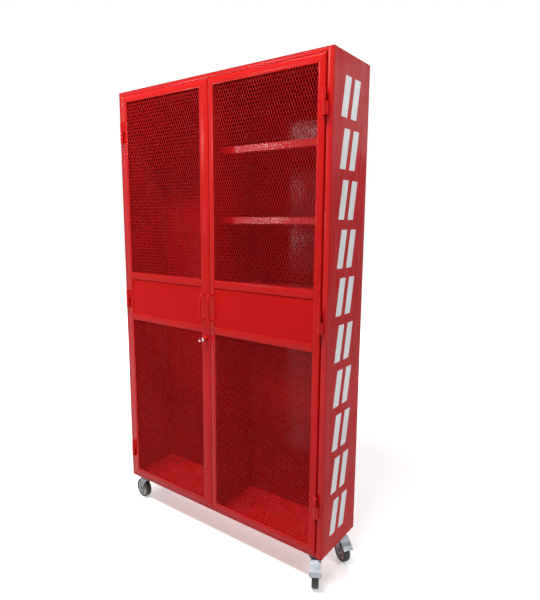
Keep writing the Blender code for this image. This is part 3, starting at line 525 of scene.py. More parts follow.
for side, way in (("left", 1), ("right", -1)):
    body = f"{side}_door"
    top_low, top_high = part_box(f"{side}_door_top_rail")
    bottom_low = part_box(f"{side}_door_bottom_rail")[0]
    meeting_low, meeting_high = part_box(f"{side}_door_meeting_stile")
    face, door_depth = top_low[1], top_high[1] - top_low[1]
    hinge_edge = joint_origins[f"{side}_door_hinge"][0] + way * HALF_DOOR_GAP
    free_edge = meeting_high[0] if way > 0 else meeting_low[0]
    meeting_width = meeting_high[0] - meeting_low[0]
    rail_ends = (top_low[0], top_high[0])[::way]
    hinge_width = abs(rail_ends[0] - way * WELD_GAP - hinge_edge)
    rail_width = top_high[2] - top_low[2]
    top, bottom = (top_high[2], -1, rail_width), (bottom_low[2], 1, rail_width)
    hinge_end, free_end = (hinge_edge, way, hinge_width), (free_edge, -way, meeting_width)
    mitre_lines[side] = np.array([
        [(outer_x, face, outer_z), (inner_x, face, outer_z + inward * leg)]
        for outer_x, inner_x in zip((hinge_edge, free_edge), rail_ends)
        for outer_z, inward, leg in (bottom, top)
    ])
    for name, edge, inward, width, ends, upright in (
        ("hinge_stile", hinge_edge, way, hinge_width, (bottom, top), True),
        ("meeting_stile", free_edge, -way, meeting_width, (bottom, top), True),
        ("top_rail", top[0], -1, rail_width, (hinge_end, free_end), False),
        ("bottom_rail", bottom[0], 1, rail_width, (hinge_end, free_end), False),
    ):
        member = mitred_member(
            f"{side}_mitred_{name}", edge, inward, width, ends, face, door_depth, door_enamel, upright
        )
        stand_in(member, body, f"{side}_door_{name}", slot="door_paint")
    for level in ("lower", "upper"):
        node_name = f"{side}_door_{level}_mid_rail"
        flat = bar(f"{side}_{level}_flat_rail", *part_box(node_name), 0, BAR_CORNER, door_enamel)
        stand_in(flat, body, node_name, slot="door_paint")
    coat(f"{side}_door_middle_panel", panel_enamel)


# Welds. Short arc-weld beads hold the corners of the door frames, the hinges and the handles, and flat
# plug welds hold the back sheet. They are left rippled where nobody grinds them, and sprayed over.

WELD_RIPPLE = 0.0022
MITRE_BEAD = 0.0014
MITRE_RIPPLE = 0.006
MITRE_FLATNESS = 0.35
MITRE_TRIM_SHARE = 0.03
TACK_RADIUS = 0.0045
TACK_HEIGHT = 0.0006
TACK_INSET = 0.014
TACK_UP_SHARES = np.linspace(0.03, 0.97, 11)
TACK_ACROSS_SHARES = np.linspace(0.08, 0.92, 7)
TACK_PROFILE = ((1.0, -0.2), (0.85, 0.7), (0.35, 1.0))


def weld_beads(name, starts, ends, radius, finish, ripple=WELD_RIPPLE, flatness=1.0):
    """Rippled beads from each start to each end.

    With t from 0 to 1 along a bead, its radius is radius * (1.02 - |2 t - 1|^4)^(1/2), small at both
    ends, times 0.9 + 0.1 cos(2 pi t length / ripple). Each ring is a circle square to the bead, and
    the flatness scales it along Y.
    """
    starts, ends = np.asarray(starts, float), np.asarray(ends, float)
    run = ends - starts
    length = np.linalg.norm(run, axis=1)
    along = run / length[:, None]
    stations = int(max(8, 4 * length.max() / ripple))
    share = np.linspace(0, 1, stations)
    swell = np.sqrt(1.02 - np.abs(2 * share - 1) ** 4)
    waves = 0.9 + 0.1 * np.cos(2 * np.pi * share[None] * length[:, None] / ripple)
    size = radius * swell[None] * waves
    turn = np.linspace(0, 2 * np.pi, 8, endpoint=False)
    side_axis = np.cross(along, (0.0, 1.0, 0.0))
    side_axis /= np.linalg.norm(side_axis, axis=1)[:, None]
    front_axis = np.cross(along, side_axis) * flatness
    circle = np.cos(turn)[None, :, None] * side_axis[:, None]
    circle = circle + np.sin(turn)[None, :, None] * front_axis[:, None]
    middle = starts[:, None] + share[None, :, None] * run[:, None]
    rings = middle[:, :, None] + size[:, :, None, None] * circle[:, None]
    return skinned(name, rings, finish, crease=80)


for side, lines in mitre_lines.items():
    starts, ends = lines[:, 0], lines[:, 1]
    trim = MITRE_TRIM_SHARE * (ends - starts)
    mitres = weld_beads(
        f"{side}_door_corner_welds", starts + trim, ends - trim, MITRE_BEAD, door_enamel,
        ripple=MITRE_RIPPLE, flatness=MITRE_FLATNESS,
    )
    stand_in(mitres, f"{side}_door", slot="door_paint")

edge_low = np.array([body_low[0] + TACK_INSET, body_low[2] + TACK_INSET])
edge_high = np.array([body_high[0] - TACK_INSET, body_high[2] - TACK_INSET])
upright = edge_low[1] + TACK_UP_SHARES * (edge_high[1] - edge_low[1])
level = edge_low[0] + TACK_ACROSS_SHARES * (edge_high[0] - edge_low[0])
tack_places = np.concatenate([
    np.column_stack([np.full(len(upright), x), upright]) for x in (edge_low[0], edge_high[0])
] + [
    np.column_stack([level, np.full(len(level), z)]) for z in (edge_low[1], edge_high[1])
])
turn = np.linspace(0, 2 * np.pi, 14, endpoint=False)
tack_rings = np.empty((len(tack_places), len(TACK_PROFILE), len(turn), 3))
for station, (size, height) in enumerate(TACK_PROFILE):
    tack_rings[:, station, :, 0] = tack_places[:, :1] + TACK_RADIUS * size * np.cos(turn)
    tack_rings[:, station, :, 2] = tack_places[:, 1:] + TACK_RADIUS * size * np.sin(turn)
    tack_rings[:, station, :, 1] = body_high[1] + TACK_HEIGHT * height
back_tacks = skinned("back_sheet_plug_welds", tack_rings, back_enamel, crease=60)
stand_in(back_tacks, "cabinet")


# Hinges. Weld-on bullet hinges of bright turned steel, painted over: the lower half with the pin is
# welded to the post, the upper half to the door, each on a short flat block.

BARREL = 0.007
BARREL_CHAMFER = 0.0012
PIN = 0.004
SLIT = 0.001
HALF_BARREL = 0.047
BLOCK_NEAR = 0.003
BLOCK_FAR = 0.014
BLOCK_SINK = 0.001
BLOCK_CORNER = 0.0008
HINGE_BEAD = 0.0022
BEAD_INSET = 0.003
HINGE_SHARES = {"left": (0.0825, 0.4925, 0.904), "right": (0.116, 0.501, 0.906)}


def turned(name, profile, centres, axis, finish, sides=32, hollow=False, crease=40):
    """Solids of revolution about parallel axes through the given centres.

    A profile point (r, h) goes to centre + h * axis + r * (cos t * across + sin t * up) for t once
    round, with across square to the axis and to a slanting line. A solid one has a ring for each
    profile point and flat ends; in a hollow one the profile is a closed outline and the ring of
    rings joins up.
    """
    profile = np.asarray(profile, float)
    centres = np.atleast_2d(np.asarray(centres, float))
    axis = np.asarray(axis, float) / np.linalg.norm(axis)
    across = np.cross(axis, (0.36, 0.48, 0.8))
    across /= np.linalg.norm(across)
    up = np.cross(axis, across)
    turn = np.linspace(0, 2 * np.pi, sides, endpoint=False)[:, None]
    radial = np.cos(turn) * across + np.sin(turn) * up
    points = (
        centres[:, None, None]
        + profile[None, :, 1, None, None] * axis
        + profile[None, :, 0, None, None] * radial[None, None]
    )
    if hollow:
        points = points.transpose(0, 2, 1, 3)
    return skinned(name, points, finish, looped=hollow, crease=crease)


def mirrored(half):
    """A profile's other half: its points in reverse, their heights below 0."""
    return [(radius, -height) for radius, height in reversed(half)]


def hinge_places(side):
    """The middles of a side's three hinges, from the joint's axis and the shares of the height."""
    axis_x, axis_y = joint_origins[f"{side}_door_hinge"][:2]
    low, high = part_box("floor_panel")[0][2], body_high[2]
    shares = np.array(HINGE_SHARES[side])
    middles = low + shares * (high - low)
    return np.column_stack([np.full(len(shares), axis_x), np.full(len(shares), axis_y), middles])


for side, way in (("left", 1), ("right", -1)):
    places = hinge_places(side)
    half = SLIT / 2
    end = half + HALF_BARREL
    knuckle = [
        (BARREL - BARREL_CHAMFER, half),
        (BARREL, half + BARREL_CHAMFER),
        (BARREL, end - BARREL_CHAMFER),
        (BARREL - BARREL_CHAMFER, end),
    ]
    pin_half = mirrored(knuckle) + [(PIN, -half), (PIN, half)]
    knuckles = turned(f"{side}_hinge_knuckles", knuckle, places, (0, 0, 1), door_enamel)
    stand_in(knuckles, f"{side}_door", slot="door_paint")
    pins = turned(f"{side}_hinge_pins", pin_half, places, (0, 0, 1), tube_enamel)
    stand_in(pins, "cabinet")
    post_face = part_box("front_top_rail")[0][1]
    door_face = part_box(f"{side}_door_top_rail")[0][1]
    for piece, body, out, back, low, high, finish, slot in (
        ("knuckle", f"{side}_door", way, door_face, half, end, door_enamel, "door_paint"),
        ("pin", "cabinet", -way, post_face, -end, -half, tube_enamel, "body_paint"),
    ):
        near, far = (places[0, 0] + out * reach for reach in (BLOCK_NEAR, BLOCK_FAR))
        outline = rounded(
            rectangle(near, places[0, 1] + BLOCK_SINK, far, back + BLOCK_SINK), BLOCK_CORNER
        )
        rings = np.empty((len(places), 2, len(outline), 3))
        rings[..., :2] = outline
        rings[..., 2] = (places[:, 2, None] + np.array([low, high]))[:, :, None]
        blocks = skinned(f"{side}_hinge_{piece}_blocks", rings, finish)
        stand_in(blocks, body, slot=slot)
        bead_low = places.copy()
        bead_low[:, :2] = far, back
        bead_low[:, 2] += low + BEAD_INSET
        bead_high = bead_low + np.array([0, 0, HALF_BARREL - 2 * BEAD_INSET])
        beads = weld_beads(f"{side}_hinge_{piece}_welds", bead_low, bead_high, HINGE_BEAD, finish)
        stand_in(beads, body, slot=slot)


# Handles. A bar of 8 mm round steel bent to a D on each door and sprayed with it. Its two feet are
# welded all round to the face of the meeting stile.

HANDLE_RADIUS = 0.004
HANDLE_BEND = 0.014
HANDLE_SINK = 0.0015
FOOT_BEAD = 0.0018
COLLAR_SINK = 0.001
COLLAR_CORNER = 0.0006


def piped(name, path, radius, side_axis, finish, sides=20):
    """A round bar along a flat path.

    Each ring is radius * (side_axis * cos t + (tangent x side_axis) * sin t) about its path point.
    """
    path = np.asarray(path, float)
    tangent = np.gradient(path, axis=0)
    tangent /= np.linalg.norm(tangent, axis=1)[:, None]
    side_axis = np.asarray(side_axis, float)
    other = np.cross(tangent, side_axis)
    turn = np.linspace(0, 2 * np.pi, sides, endpoint=False)[None, :, None]
    rings = path[:, None] + radius * (np.cos(turn) * side_axis + np.sin(turn) * other[:, None])
    return skinned(name, rings[None], finish, crease=60)


for side in ("left", "right"):
    low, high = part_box(f"{side}_door_handle")
    middle_x = (low[0] + high[0]) / 2
    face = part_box(f"{side}_door_meeting_stile")[0][1]
    front = low[1] + HANDLE_RADIUS
    low_z, high_z = low[2] + HANDLE_RADIUS, high[2] - HANDLE_RADIUS
    corners = rectangle(face + HANDLE_SINK, low_z, front, high_z)
    bends = rounded(corners, (0, HANDLE_BEND, HANDLE_BEND, 0), steps=9)
    path = np.column_stack([np.full(len(bends), middle_x), bends])
    grip = piped(f"{side}_bent_handle", path, HANDLE_RADIUS, (1, 0, 0), door_enamel)
    stand_in(grip, f"{side}_door", f"{side}_door_handle", slot="door_paint")
    within = HANDLE_RADIUS - COLLAR_SINK
    collar = rounded(
        [(within, -FOOT_BEAD), (HANDLE_RADIUS + FOOT_BEAD, 0), (within, FOOT_BEAD)], COLLAR_CORNER
    )
    foot_places = [(middle_x, face, low_z), (middle_x, face, high_z)]
    feet = turned(f"{side}_handle_foot_welds", collar, foot_places, (0, 1, 0), door_enamel, hollow=True)
    stand_in(feet, f"{side}_door", slot="door_paint")


# Expanded metal. Raised half-inch steel mesh: a sheet is slit and pulled apart, so each strand zigzags
# upwards, tilted, and meets its neighbours at bonds, one edge of each bond to the front. It is cut to
# the door, tacked behind the frame's flat legs and painted with it.

DIAMOND_WIDTH = 0.0127
DIAMOND_HEIGHT = 0.0305
STRAND_WIDTH = 0.0016
STRAND_THICKNESS = 0.0014
STRAND_TILT = math.radians(-50)
BOND_LENGTH = 0.0050
# Painted highlight: the strands' red is brighter than the frame's, standing in for the sheen of lit
# strands.
MESH_RED_WITH_PAINTED_SHEEN = (0.66, 0.012, 0.012, 1.0)


def expanded_metal(name, low, high, finish):
    """A panel of expanded metal between two corners, one closed ribbon a strand.

    With the height z along a strand, its middle swings from side to side as a trapezoid wave w(z)
    between -1 and 1: x = x0 + reach * w and y = y0 - depth * w. The tilt and so the depth are below
    0, which puts a strand farther back where it swings to the right. Its flat section is the tilted
    rectangle of the strand's width and thickness, carried along that path; neighbours swing the
    opposite way, so that they touch wherever both waves hold still, at the bonds.
    """
    across, deep = math.cos(STRAND_TILT), math.sin(STRAND_TILT)
    reach = DIAMOND_WIDTH / 4 - STRAND_WIDTH * across / 2
    depth = STRAND_WIDTH * deep / 2
    width, height = high[0] - low[0], high[2] - low[2]
    strands = int(width / (DIAMOND_WIDTH / 2)) - 1
    halves = int(height / (DIAMOND_HEIGHT / 2))
    hold = BOND_LENGTH / 2
    turns = (np.arange(halves + 1) * DIAMOND_HEIGHT / 2)[:, None] + np.array([-hold, hold])
    heights = np.clip(turns.ravel(), 0, height)
    wave = np.repeat(np.where(np.arange(halves + 1) % 2, -1.0, 1.0), 2)
    index = np.arange(strands)
    sign = np.where(index % 2, -1.0, 1.0)[:, None] * wave[None, :]
    margin = (width - (strands - 1) * DIAMOND_WIDTH / 2) / 2
    middle_x = low[0] + margin + index[:, None] * DIAMOND_WIDTH / 2 + reach * sign
    front_space = STRAND_WIDTH * abs(deep) + STRAND_THICKNESS * across / 2
    middle_y = low[1] + front_space - depth * sign
    corners = np.array(rectangle(-1, -1, 1, 1)) / 2
    offset_x = corners[:, 0] * STRAND_WIDTH * across - corners[:, 1] * STRAND_THICKNESS * deep
    offset_y = corners[:, 0] * STRAND_WIDTH * deep + corners[:, 1] * STRAND_THICKNESS * across
    rings = np.empty((strands, len(heights), 4, 3))
    rings[..., 0] = middle_x[..., None] + offset_x
    rings[..., 1] = middle_y[..., None] + offset_y
    rings[..., 2] = low[2] + heights[None, :, None]
    return skinned(name, rings, finish, crease=15)


# Painted highlight: the mesh's brighter red stands in for sheen on the strands.
sheen_painted_mesh_enamel = enamel(
    "gloss_red_with_painted_sheen_on_mesh", MESH_RED_WITH_PAINTED_SHEEN, sheet_waves=0.0, peel=0.1, gloss=0.26, specular=0.16
)
for side in ("left", "right"):
    for level in ("upper", "lower"):
        node_name = f"{side}_door_{level}_mesh"
        sheet = expanded_metal(f"{side}_{level}_expanded_metal", *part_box(node_name), sheen_painted_mesh_enamel)
        stand_in(sheet, f"{side}_door", node_name, slot="mesh_paint")


# Lock. A cam lock with a round painted housing on the left door's meeting stile, a chromed plug in it,
# a zinc-plated cam behind and the flat key left in the slot.

HOUSING_LIP = 0.0012
HOUSING_EDGE = 0.0003
FACE_EDGE = 0.0005
PLUG_BORE = 0.0059
NECK_RADIUS = 0.008
KEY_EDGE = 0.0004
SCRATCH_DEPTH = 0.0002


def bumped(tree, shader, height, strength, depth):
    """Bumps a shader's normal by a height socket, as deep as the depth at full strength."""
    bump = tree.nodes.new("ShaderNodeBump")
    bump.inputs["Strength"].default_value = strength
    bump.inputs["Distance"].default_value = depth
    tree.links.new(height, bump.inputs["Height"])
    tree.links.new(bump.outputs["Normal"], shader.inputs["Normal"])


def plated(name, colour, roughness, grain):
    """Metal plate: stains dull its colour and vary its roughness, and fine scratches bump it."""
    made, tree, shader = new_material(name)
    shader.inputs["Metallic"].default_value = 1.0
    place = tree.nodes.new("ShaderNodeTexCoord").outputs["Object"]
    stretch = tree.nodes.new("ShaderNodeMapping")
    stretch.inputs["Scale"].default_value = (1.0, 1.0, 0.15)
    tree.links.new(place, stretch.inputs["Vector"])
    scratches = noise(tree, stretch.outputs["Vector"], 900.0, 3.0, 0.7)
    stains = noise(tree, place, 60.0, 4.0, 0.6)
    dull = tuple(channel * 0.72 for channel in colour[:3]) + (1.0,)
    tree.links.new(
        mixed_colour(tree, remap(tree, stains, 0.45, 0.75, 0.0, 0.8), colour, dull),
        shader.inputs["Base Color"],
    )
    rough = remap(tree, stains, 0.3, 0.7, roughness - 0.06, roughness + 0.12)
    tree.links.new(rough, shader.inputs["Roughness"])
    bumped(tree, shader, scratches, grain, SCRATCH_DEPTH)
    return made


chrome = plated("chrome_plate", (0.66, 0.66, 0.68, 1.0), 0.14, 0.05)
zinc = plated("zinc_plate", (0.21, 0.22, 0.24, 1.0), 0.42, 0.12)
housing_low, housing_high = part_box("lock_housing")
housing_radius = (housing_high[0] - housing_low[0]) / 2
lock_middle = [(a + b) / 2 for a, b in zip(housing_low, housing_high)]
housing_length = housing_high[1] - housing_low[1]
face_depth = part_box("left_door_meeting_stile")[0][1] - housing_low[1]
housing_profile = rounded(
    [
        (PLUG_BORE, 0),
        (housing_radius, 0),
        (housing_radius, face_depth - WELD_GAP),
        (NECK_RADIUS, face_depth - WELD_GAP),
        (NECK_RADIUS, housing_length),
        (PLUG_BORE, housing_length),
    ],
    (HOUSING_EDGE, HOUSING_LIP, FACE_EDGE, HOUSING_EDGE, HOUSING_EDGE, HOUSING_EDGE),
)
housing_front = (lock_middle[0], housing_low[1], lock_middle[2])
housing = turned(
    "turned_lock_housing", housing_profile, housing_front, (0, 1, 0), door_enamel, sides=48, hollow=True
)
stand_in(housing, "left_door", "lock_housing", slot="door_paint")
coat("lock_plug", chrome)
bright_key = softened("key", KEY_EDGE, chrome)
coat("lock_cam", zinc)


# Casters. Swivel casters of pressed and bright zinc-plated steel, bolted up through the floor. Black
# rubber tyres sit on ribbed beige plastic cores. The two on the right have a foot brake.

PRESSED_EDGE = 0.0006
WHEEL_RADIUS = 0.050
TYRE_HALF = 0.015
SHOULDER = 0.0065
TYRE_WALL_LIP = 0.0012
CORE_RADIUS = 0.038
CORE_HALF = 0.012
CORE_EDGE = 0.0004
WEB_RADIUS = 0.033
WEB_HALF = 0.0022
HUB_RADIUS = 0.012
HUB_HALF = 0.016
HUB_RIM = 0.004
DRAFT = 0.001
BORE = 0.0044
RIB_COUNT = 6
RIB_HALF = 0.0012
RIB_DEEP = 0.0095
RIB_START = 0.3
# Fork and cup: heights from the swivel joint's place, distances from its axis.
LEG_TOP = -0.0153
LEG_INNER = 0.0163
LEG_OUTER = 0.0193
LEG_END = 0.012
LEG_HOLLOW = 0.003
FORK_BACK = -0.024
FORK_FRONT = 0.036
ROLLED_EDGE = 0.0021
CROWN_CORNER = 0.003
CROWN_SINK = 0.0004
CROWN_RISE = 0.0028
CUP_RADIUS = 0.030
CUP_INNER_RADIUS = 0.0284
CUP_BORE = 0.0055
CUP_TOP = -0.0125
CUP_UNDER = -0.0148
CUP_RIM = -0.0185
CUP_CORNER = 0.0006
AXLE_RADIUS = 0.0040
BOLT_RADIUS = 0.0034
NUT_RADIUS = 0.0078
# Nut and bolt end: how far each step stands out from the leg.
NUT_NEAR = 0.0003
NUT_FAR = 0.0046
NUT_CHAMFER = 0.0012
NUT_CROWN = 0.0055
BOLT_NEAR = 0.0056
BOLT_FAR = 0.0075
FLECK_STRENGTH = 0.4


def moulded(name, colour, roughness, fleck_scale, fleck_depth):
    """Moulded rubber, plastic or film: mottled colour and roughness, and a fine pebbled bump."""
    made, tree, shader = new_material(name)
    place = tree.nodes.new("ShaderNodeTexCoord").outputs["Object"]
    mottled = noise(tree, place, 45.0, 5.0, 0.65)
    dusty = tuple(0.8 * channel + 0.02 for channel in colour[:3]) + (1.0,)
    tree.links.new(
        mixed_colour(tree, remap(tree, mottled, 0.45, 0.7, 0.0, 0.7), colour, dusty),
        shader.inputs["Base Color"],
    )
    tree.links.new(
        remap(tree, mottled, 0.3, 0.7, roughness - 0.1, roughness + 0.15), shader.inputs["Roughness"]
    )
    bumped(tree, shader, noise(tree, place, fleck_scale, 2.0), FLECK_STRENGTH, fleck_depth)
    return made


rubber = moulded("black_tyre_rubber", (0.010, 0.010, 0.010, 1.0), 0.50, 700.0, 0.0003)
core_plastic = moulded("beige_wheel_core", (0.58, 0.53, 0.48, 1.0), 0.38, 400.0, 0.0001)
joint_axes = {joint["name"]: joint["axis"] for joint in frame["joints"]}


def fork_leg_edges(axle_x, axle_z, stations, end_steps):
    """How far ahead of the kingpin a leg's back and front edges lie, and at which heights from it.

    From the crown down to the axle, t runs from 0 to 1: the back edge comes forward along
    1 - (1 - t)^1.8, and the front edge along t^1.5 less a shallow sine, so that both are hollow.
    Below the axle they follow the round end, from 12 to 80 degrees down.
    """
    down = np.linspace(0, 1, stations)
    back = FORK_BACK + (axle_x - LEG_END - FORK_BACK) * (1 - (1 - down) ** 1.8)
    front = FORK_FRONT + (axle_x + LEG_END - FORK_FRONT) * down**1.5
    front = front - LEG_HOLLOW * np.sin(np.pi * down)
    depth = LEG_TOP + (axle_z - LEG_TOP) * down
    turn = np.radians(np.linspace(12, 80, end_steps))
    back = np.concatenate([back, axle_x - LEG_END * np.cos(turn)])
    front = np.concatenate([front, axle_x + LEG_END * np.cos(turn)])
    return back, front, np.concatenate([depth, axle_z - LEG_END * np.sin(turn)])


for corner in ("front_left", "front_right", "rear_left", "rear_right"):
    wheel_body = f"{corner}_wheel"
    spin = f"{corner}_wheel_spin"
    centre, axis = joint_origins[spin], joint_axes[spin]
    kingpin = np.array(joint_origins[f"{corner}_swivel"])
    forward = (np.array(centre) - kingpin) * (1, 1, 0)
    trail = np.linalg.norm(forward)
    forward /= trail
    upward = np.array([0.0, 0.0, 1.0])
    sideways = np.cross(upward, forward)
    tyre_profile = rounded(
        rectangle(CORE_RADIUS + WELD_GAP, -TYRE_HALF, WHEEL_RADIUS, TYRE_HALF),
        (TYRE_WALL_LIP, SHOULDER, SHOULDER, TYRE_WALL_LIP),
        steps=7,
    )
    tyre = turned(f"{corner}_moulded_tyre", tyre_profile, centre, axis, rubber, sides=72, hollow=True)
    stand_in(tyre, wheel_body, f"{corner}_tyre", slot="tyre_rubber")
    half_profile = [
        (BORE, HUB_HALF),
        (HUB_RADIUS - HUB_RIM, HUB_HALF),
        (HUB_RADIUS - HUB_RIM + DRAFT, HUB_HALF - DRAFT),
        (HUB_RADIUS, HUB_HALF - DRAFT),
        (HUB_RADIUS + DRAFT, WEB_HALF),
        (WEB_RADIUS, WEB_HALF),
        (WEB_RADIUS + DRAFT, CORE_HALF),
        (CORE_RADIUS, CORE_HALF),
    ]
    core_profile = rounded(half_profile + mirrored(half_profile), CORE_EDGE, steps=3)
    core = turned(f"{corner}_webbed_core", core_profile, centre, axis, core_plastic, sides=72, hollow=True)
    stand_in(core, wheel_body, f"{corner}_wheel_core", slot="wheel_core")
    rib_turn = np.arange(RIB_COUNT) * 2 * np.pi / RIB_COUNT + RIB_START
    spoke = np.cos(rib_turn)[:, None] * forward + np.sin(rib_turn)[:, None] * upward
    beside = np.cos(rib_turn)[:, None] * upward - np.sin(rib_turn)[:, None] * forward
    reach = np.array([HUB_RADIUS - DRAFT, WEB_RADIUS + DRAFT])
    section = np.array(rectangle(-1, -1, 1, 1))
    rib_rings = (
        np.array(centre)
        + reach[None, :, None, None] * spoke[:, None, None]
        + RIB_HALF * section[None, None, :, :1] * beside[:, None, None]
        + RIB_DEEP * section[None, None, :, 1:] * sideways
    )
    ribs = skinned(f"{corner}_core_ribs", rib_rings, core_plastic)
    stand_in(ribs, wheel_body, slot="wheel_core")

    back, front, depth = fork_leg_edges(trail, centre[2] - kingpin[2], stations=10, end_steps=6)
    inner_side, outer_side = LEG_INNER * np.array([-1, 1]), LEG_OUTER * np.array([-1, 1])
    along = np.stack([back, front, front, back], axis=1)
    out = np.stack([inner_side, inner_side, outer_side, outer_side], axis=1)
    leg_rings = (
        kingpin
        + along[None, :, :, None] * forward
        + out[:, None, :, None] * sideways
        + depth[None, :, None, None] * upward
    )
    legs = skinned(f"{corner}_fork_legs", leg_rings, zinc, crease=30)
    round_edges(legs, PRESSED_EDGE)
    stand_in(legs, f"{corner}_caster", f"{corner}_fork", slot="caster_zinc")
    rim_path = np.concatenate([
        np.column_stack([back, depth]), np.column_stack([front, depth])[::-1]
    ])
    for number, side_offset in enumerate((LEG_INNER + LEG_OUTER) / 2 * np.array([-1, 1])):
        path = kingpin + rim_path[:, :1] * forward + rim_path[:, 1:] * upward + side_offset * sideways
        edge = piped(f"{corner}_rolled_edge_{number}", path, ROLLED_EDGE, sideways, zinc, sides=8)
        stand_in(edge, f"{corner}_caster", slot="caster_zinc")
    crown_outline = rounded(rectangle(FORK_BACK, -LEG_OUTER, FORK_FRONT, LEG_OUTER), CROWN_CORNER)
    crown_rings = (
        kingpin
        + crown_outline[None, None, :, :1] * forward
        + crown_outline[None, None, :, 1:] * sideways
        + np.array([LEG_TOP - CROWN_SINK, LEG_TOP + CROWN_RISE])[None, :, None, None] * upward
    )
    crown = skinned(f"{corner}_fork_crown", crown_rings, zinc)
    round_edges(crown, PRESSED_EDGE)
    stand_in(crown, f"{corner}_caster", slot="caster_zinc")
    cup_profile = [
        (CUP_BORE, CUP_TOP),
        (CUP_RADIUS, CUP_TOP),
        (CUP_RADIUS, CUP_RIM),
        (CUP_INNER_RADIUS, CUP_RIM),
        (CUP_INNER_RADIUS, CUP_UNDER),
        (CUP_BORE, CUP_UNDER),
    ]
    cup_profile = rounded(cup_profile, CUP_CORNER, steps=3)
    cup = turned(f"{corner}_swivel_cup", cup_profile, kingpin, (0, 0, 1), zinc, sides=40, hollow=True)
    stand_in(cup, f"{corner}_caster", slot="caster_zinc")
    plate = softened(f"{corner}_caster_plate", PRESSED_EDGE, zinc)
    bolt_half = [
        (AXLE_RADIUS, LEG_OUTER + NUT_NEAR),
        (NUT_RADIUS, LEG_OUTER + NUT_NEAR),
        (NUT_RADIUS, LEG_OUTER + NUT_FAR),
        (NUT_RADIUS - NUT_CHAMFER, LEG_OUTER + NUT_CROWN),
        (BOLT_RADIUS, LEG_OUTER + BOLT_NEAR),
        (BOLT_RADIUS, LEG_OUTER + BOLT_FAR),
    ]
    bolt = turned(f"{corner}_axle_bolt", mirrored(bolt_half) + bolt_half, centre, axis, zinc, sides=6)
    stand_in(bolt, f"{corner}_caster", f"{corner}_axle", slot="caster_zinc")

for corner in ("front_right", "rear_right"):
    pedal = softened(f"{corner}_brake_pedal", PRESSED_EDGE, zinc)


# Side marks. Ten plain white marks of cut vinyl film, each a pair of leaning upright bars, stuck on the
# right side one under another, as on safety equipment.

MARK_COUNT = 10
MARK_TOP = 2.055
MARK_PITCH = 0.1885
MARK_HEIGHT = 0.150
MARK_BAR = 0.045
MARK_GAP = 0.030
MARK_LEAN = 0.030
MARK_MIDDLE_Y = 0.022
MARK_CORNER = 0.003
FILM = 0.0002
film_white = moulded("white_vinyl_film", (0.74, 0.76, 0.77, 1.0), 0.30, 500.0, 0.00004)
bar_corners = np.array([
    (0, 0), (MARK_BAR, 0), (MARK_BAR + MARK_LEAN, MARK_HEIGHT), (MARK_LEAN, MARK_HEIGHT)
])
mark_outline = rounded(bar_corners, MARK_CORNER)
first_bar = MARK_MIDDLE_Y - (2 * MARK_BAR + MARK_GAP + MARK_LEAN) / 2
starts = np.array([
    (first_bar + step, MARK_TOP - MARK_HEIGHT - mark * MARK_PITCH)
    for mark in range(MARK_COUNT)
    for step in (0, MARK_BAR + MARK_GAP)
])
rings = np.empty((len(starts), 2, len(mark_outline), 3))
rings[..., 1:] = (starts[:, None] + mark_outline)[:, None]
rings[..., 0] = (body_high[0] + np.array([-FILM, FILM]))[None, :, None]
marks = skinned("white_side_marks", rings, film_white)
stand_in(marks, "cabinet")


# Room. A pale floor under soft lamps, with white behind the cabinet wherever the camera or a bright
# surface looks past it, and the camera to the front right of it, at eye height.

EYE = (1.5012, -1.7479, 1.5201)
EYE_TURN = -0.62953
EYE_PITCH = -0.15732
EYE_ROLL = 0.00766
LENS = 29.78
SENSOR = 36.0


def camera_matrix():
    """The camera's right, up and backward columns from its turn, pitch and roll."""
    ahead = np.array([
        math.sin(EYE_TURN) * math.cos(EYE_PITCH),
        math.cos(EYE_TURN) * math.cos(EYE_PITCH),
        math.sin(EYE_PITCH),
    ])
    right = np.cross(ahead, (0, 0, 1))
    right /= np.linalg.norm(right)
    up = np.cross(right, ahead)
    turned_right = math.cos(EYE_ROLL) * right + math.sin(EYE_ROLL) * up
    turned_up = -math.sin(EYE_ROLL) * right + math.cos(EYE_ROLL) * up
    matrix = np.eye(4)
    matrix[:3, 0], matrix[:3, 1], matrix[:3, 2], matrix[:3, 3] = turned_right, turned_up, -ahead, EYE
    return matrix


camera = placed("camera", bpy.data.cameras.new("camera"))
camera.data.lens = LENS
camera.data.sensor_fit = "VERTICAL"
camera.data.sensor_height = SENSOR
camera.matrix_world = camera_matrix().T.tolist()
bpy.context.scene.camera = camera


def looked_at(tree):
    """1 where the camera, a glossy surface or glass looks straight at this, 0 where light comes by."""
    path = tree.nodes.new("ShaderNodeLightPath")
    seen = arithmetic(tree, "MAXIMUM", path.outputs["Is Camera Ray"], path.outputs["Is Glossy Ray"])
    return arithmetic(tree, "MAXIMUM", seen, path.outputs["Is Transmission Ray"])


FLOOR_REACH = 14.0
FLOOR_GLOW = 0.40
GLOW_NEAR = 1.2
GLOW_FAR = 3.2
floor_mesh = bpy.data.meshes.new("floor")
floor_corners = rectangle(-FLOOR_REACH, -FLOOR_REACH, FLOOR_REACH, FLOOR_REACH)
floor_mesh.from_pydata([(x, y, 0) for x, y in floor_corners], [], [(0, 1, 2, 3)])
floor = placed("floor", floor_mesh)
floor_paint, floor_tree, floor_shader = new_material("pale_floor")
floor_shader.inputs["Base Color"].default_value = (0.88, 0.88, 0.88, 1.0)
floor_shader.inputs["Roughness"].default_value = 0.6
floor_shader.inputs["Specular IOR Level"].default_value = 0.2
from_middle = floor_tree.nodes.new("ShaderNodeVectorMath")
from_middle.operation = "LENGTH"
floor_place = floor_tree.nodes.new("ShaderNodeTexCoord").outputs["Object"]
floor_tree.links.new(floor_place, from_middle.inputs[0])
floor_glow = remap(floor_tree, from_middle.outputs["Value"], GLOW_NEAR, GLOW_FAR, FLOOR_GLOW, 1.0)
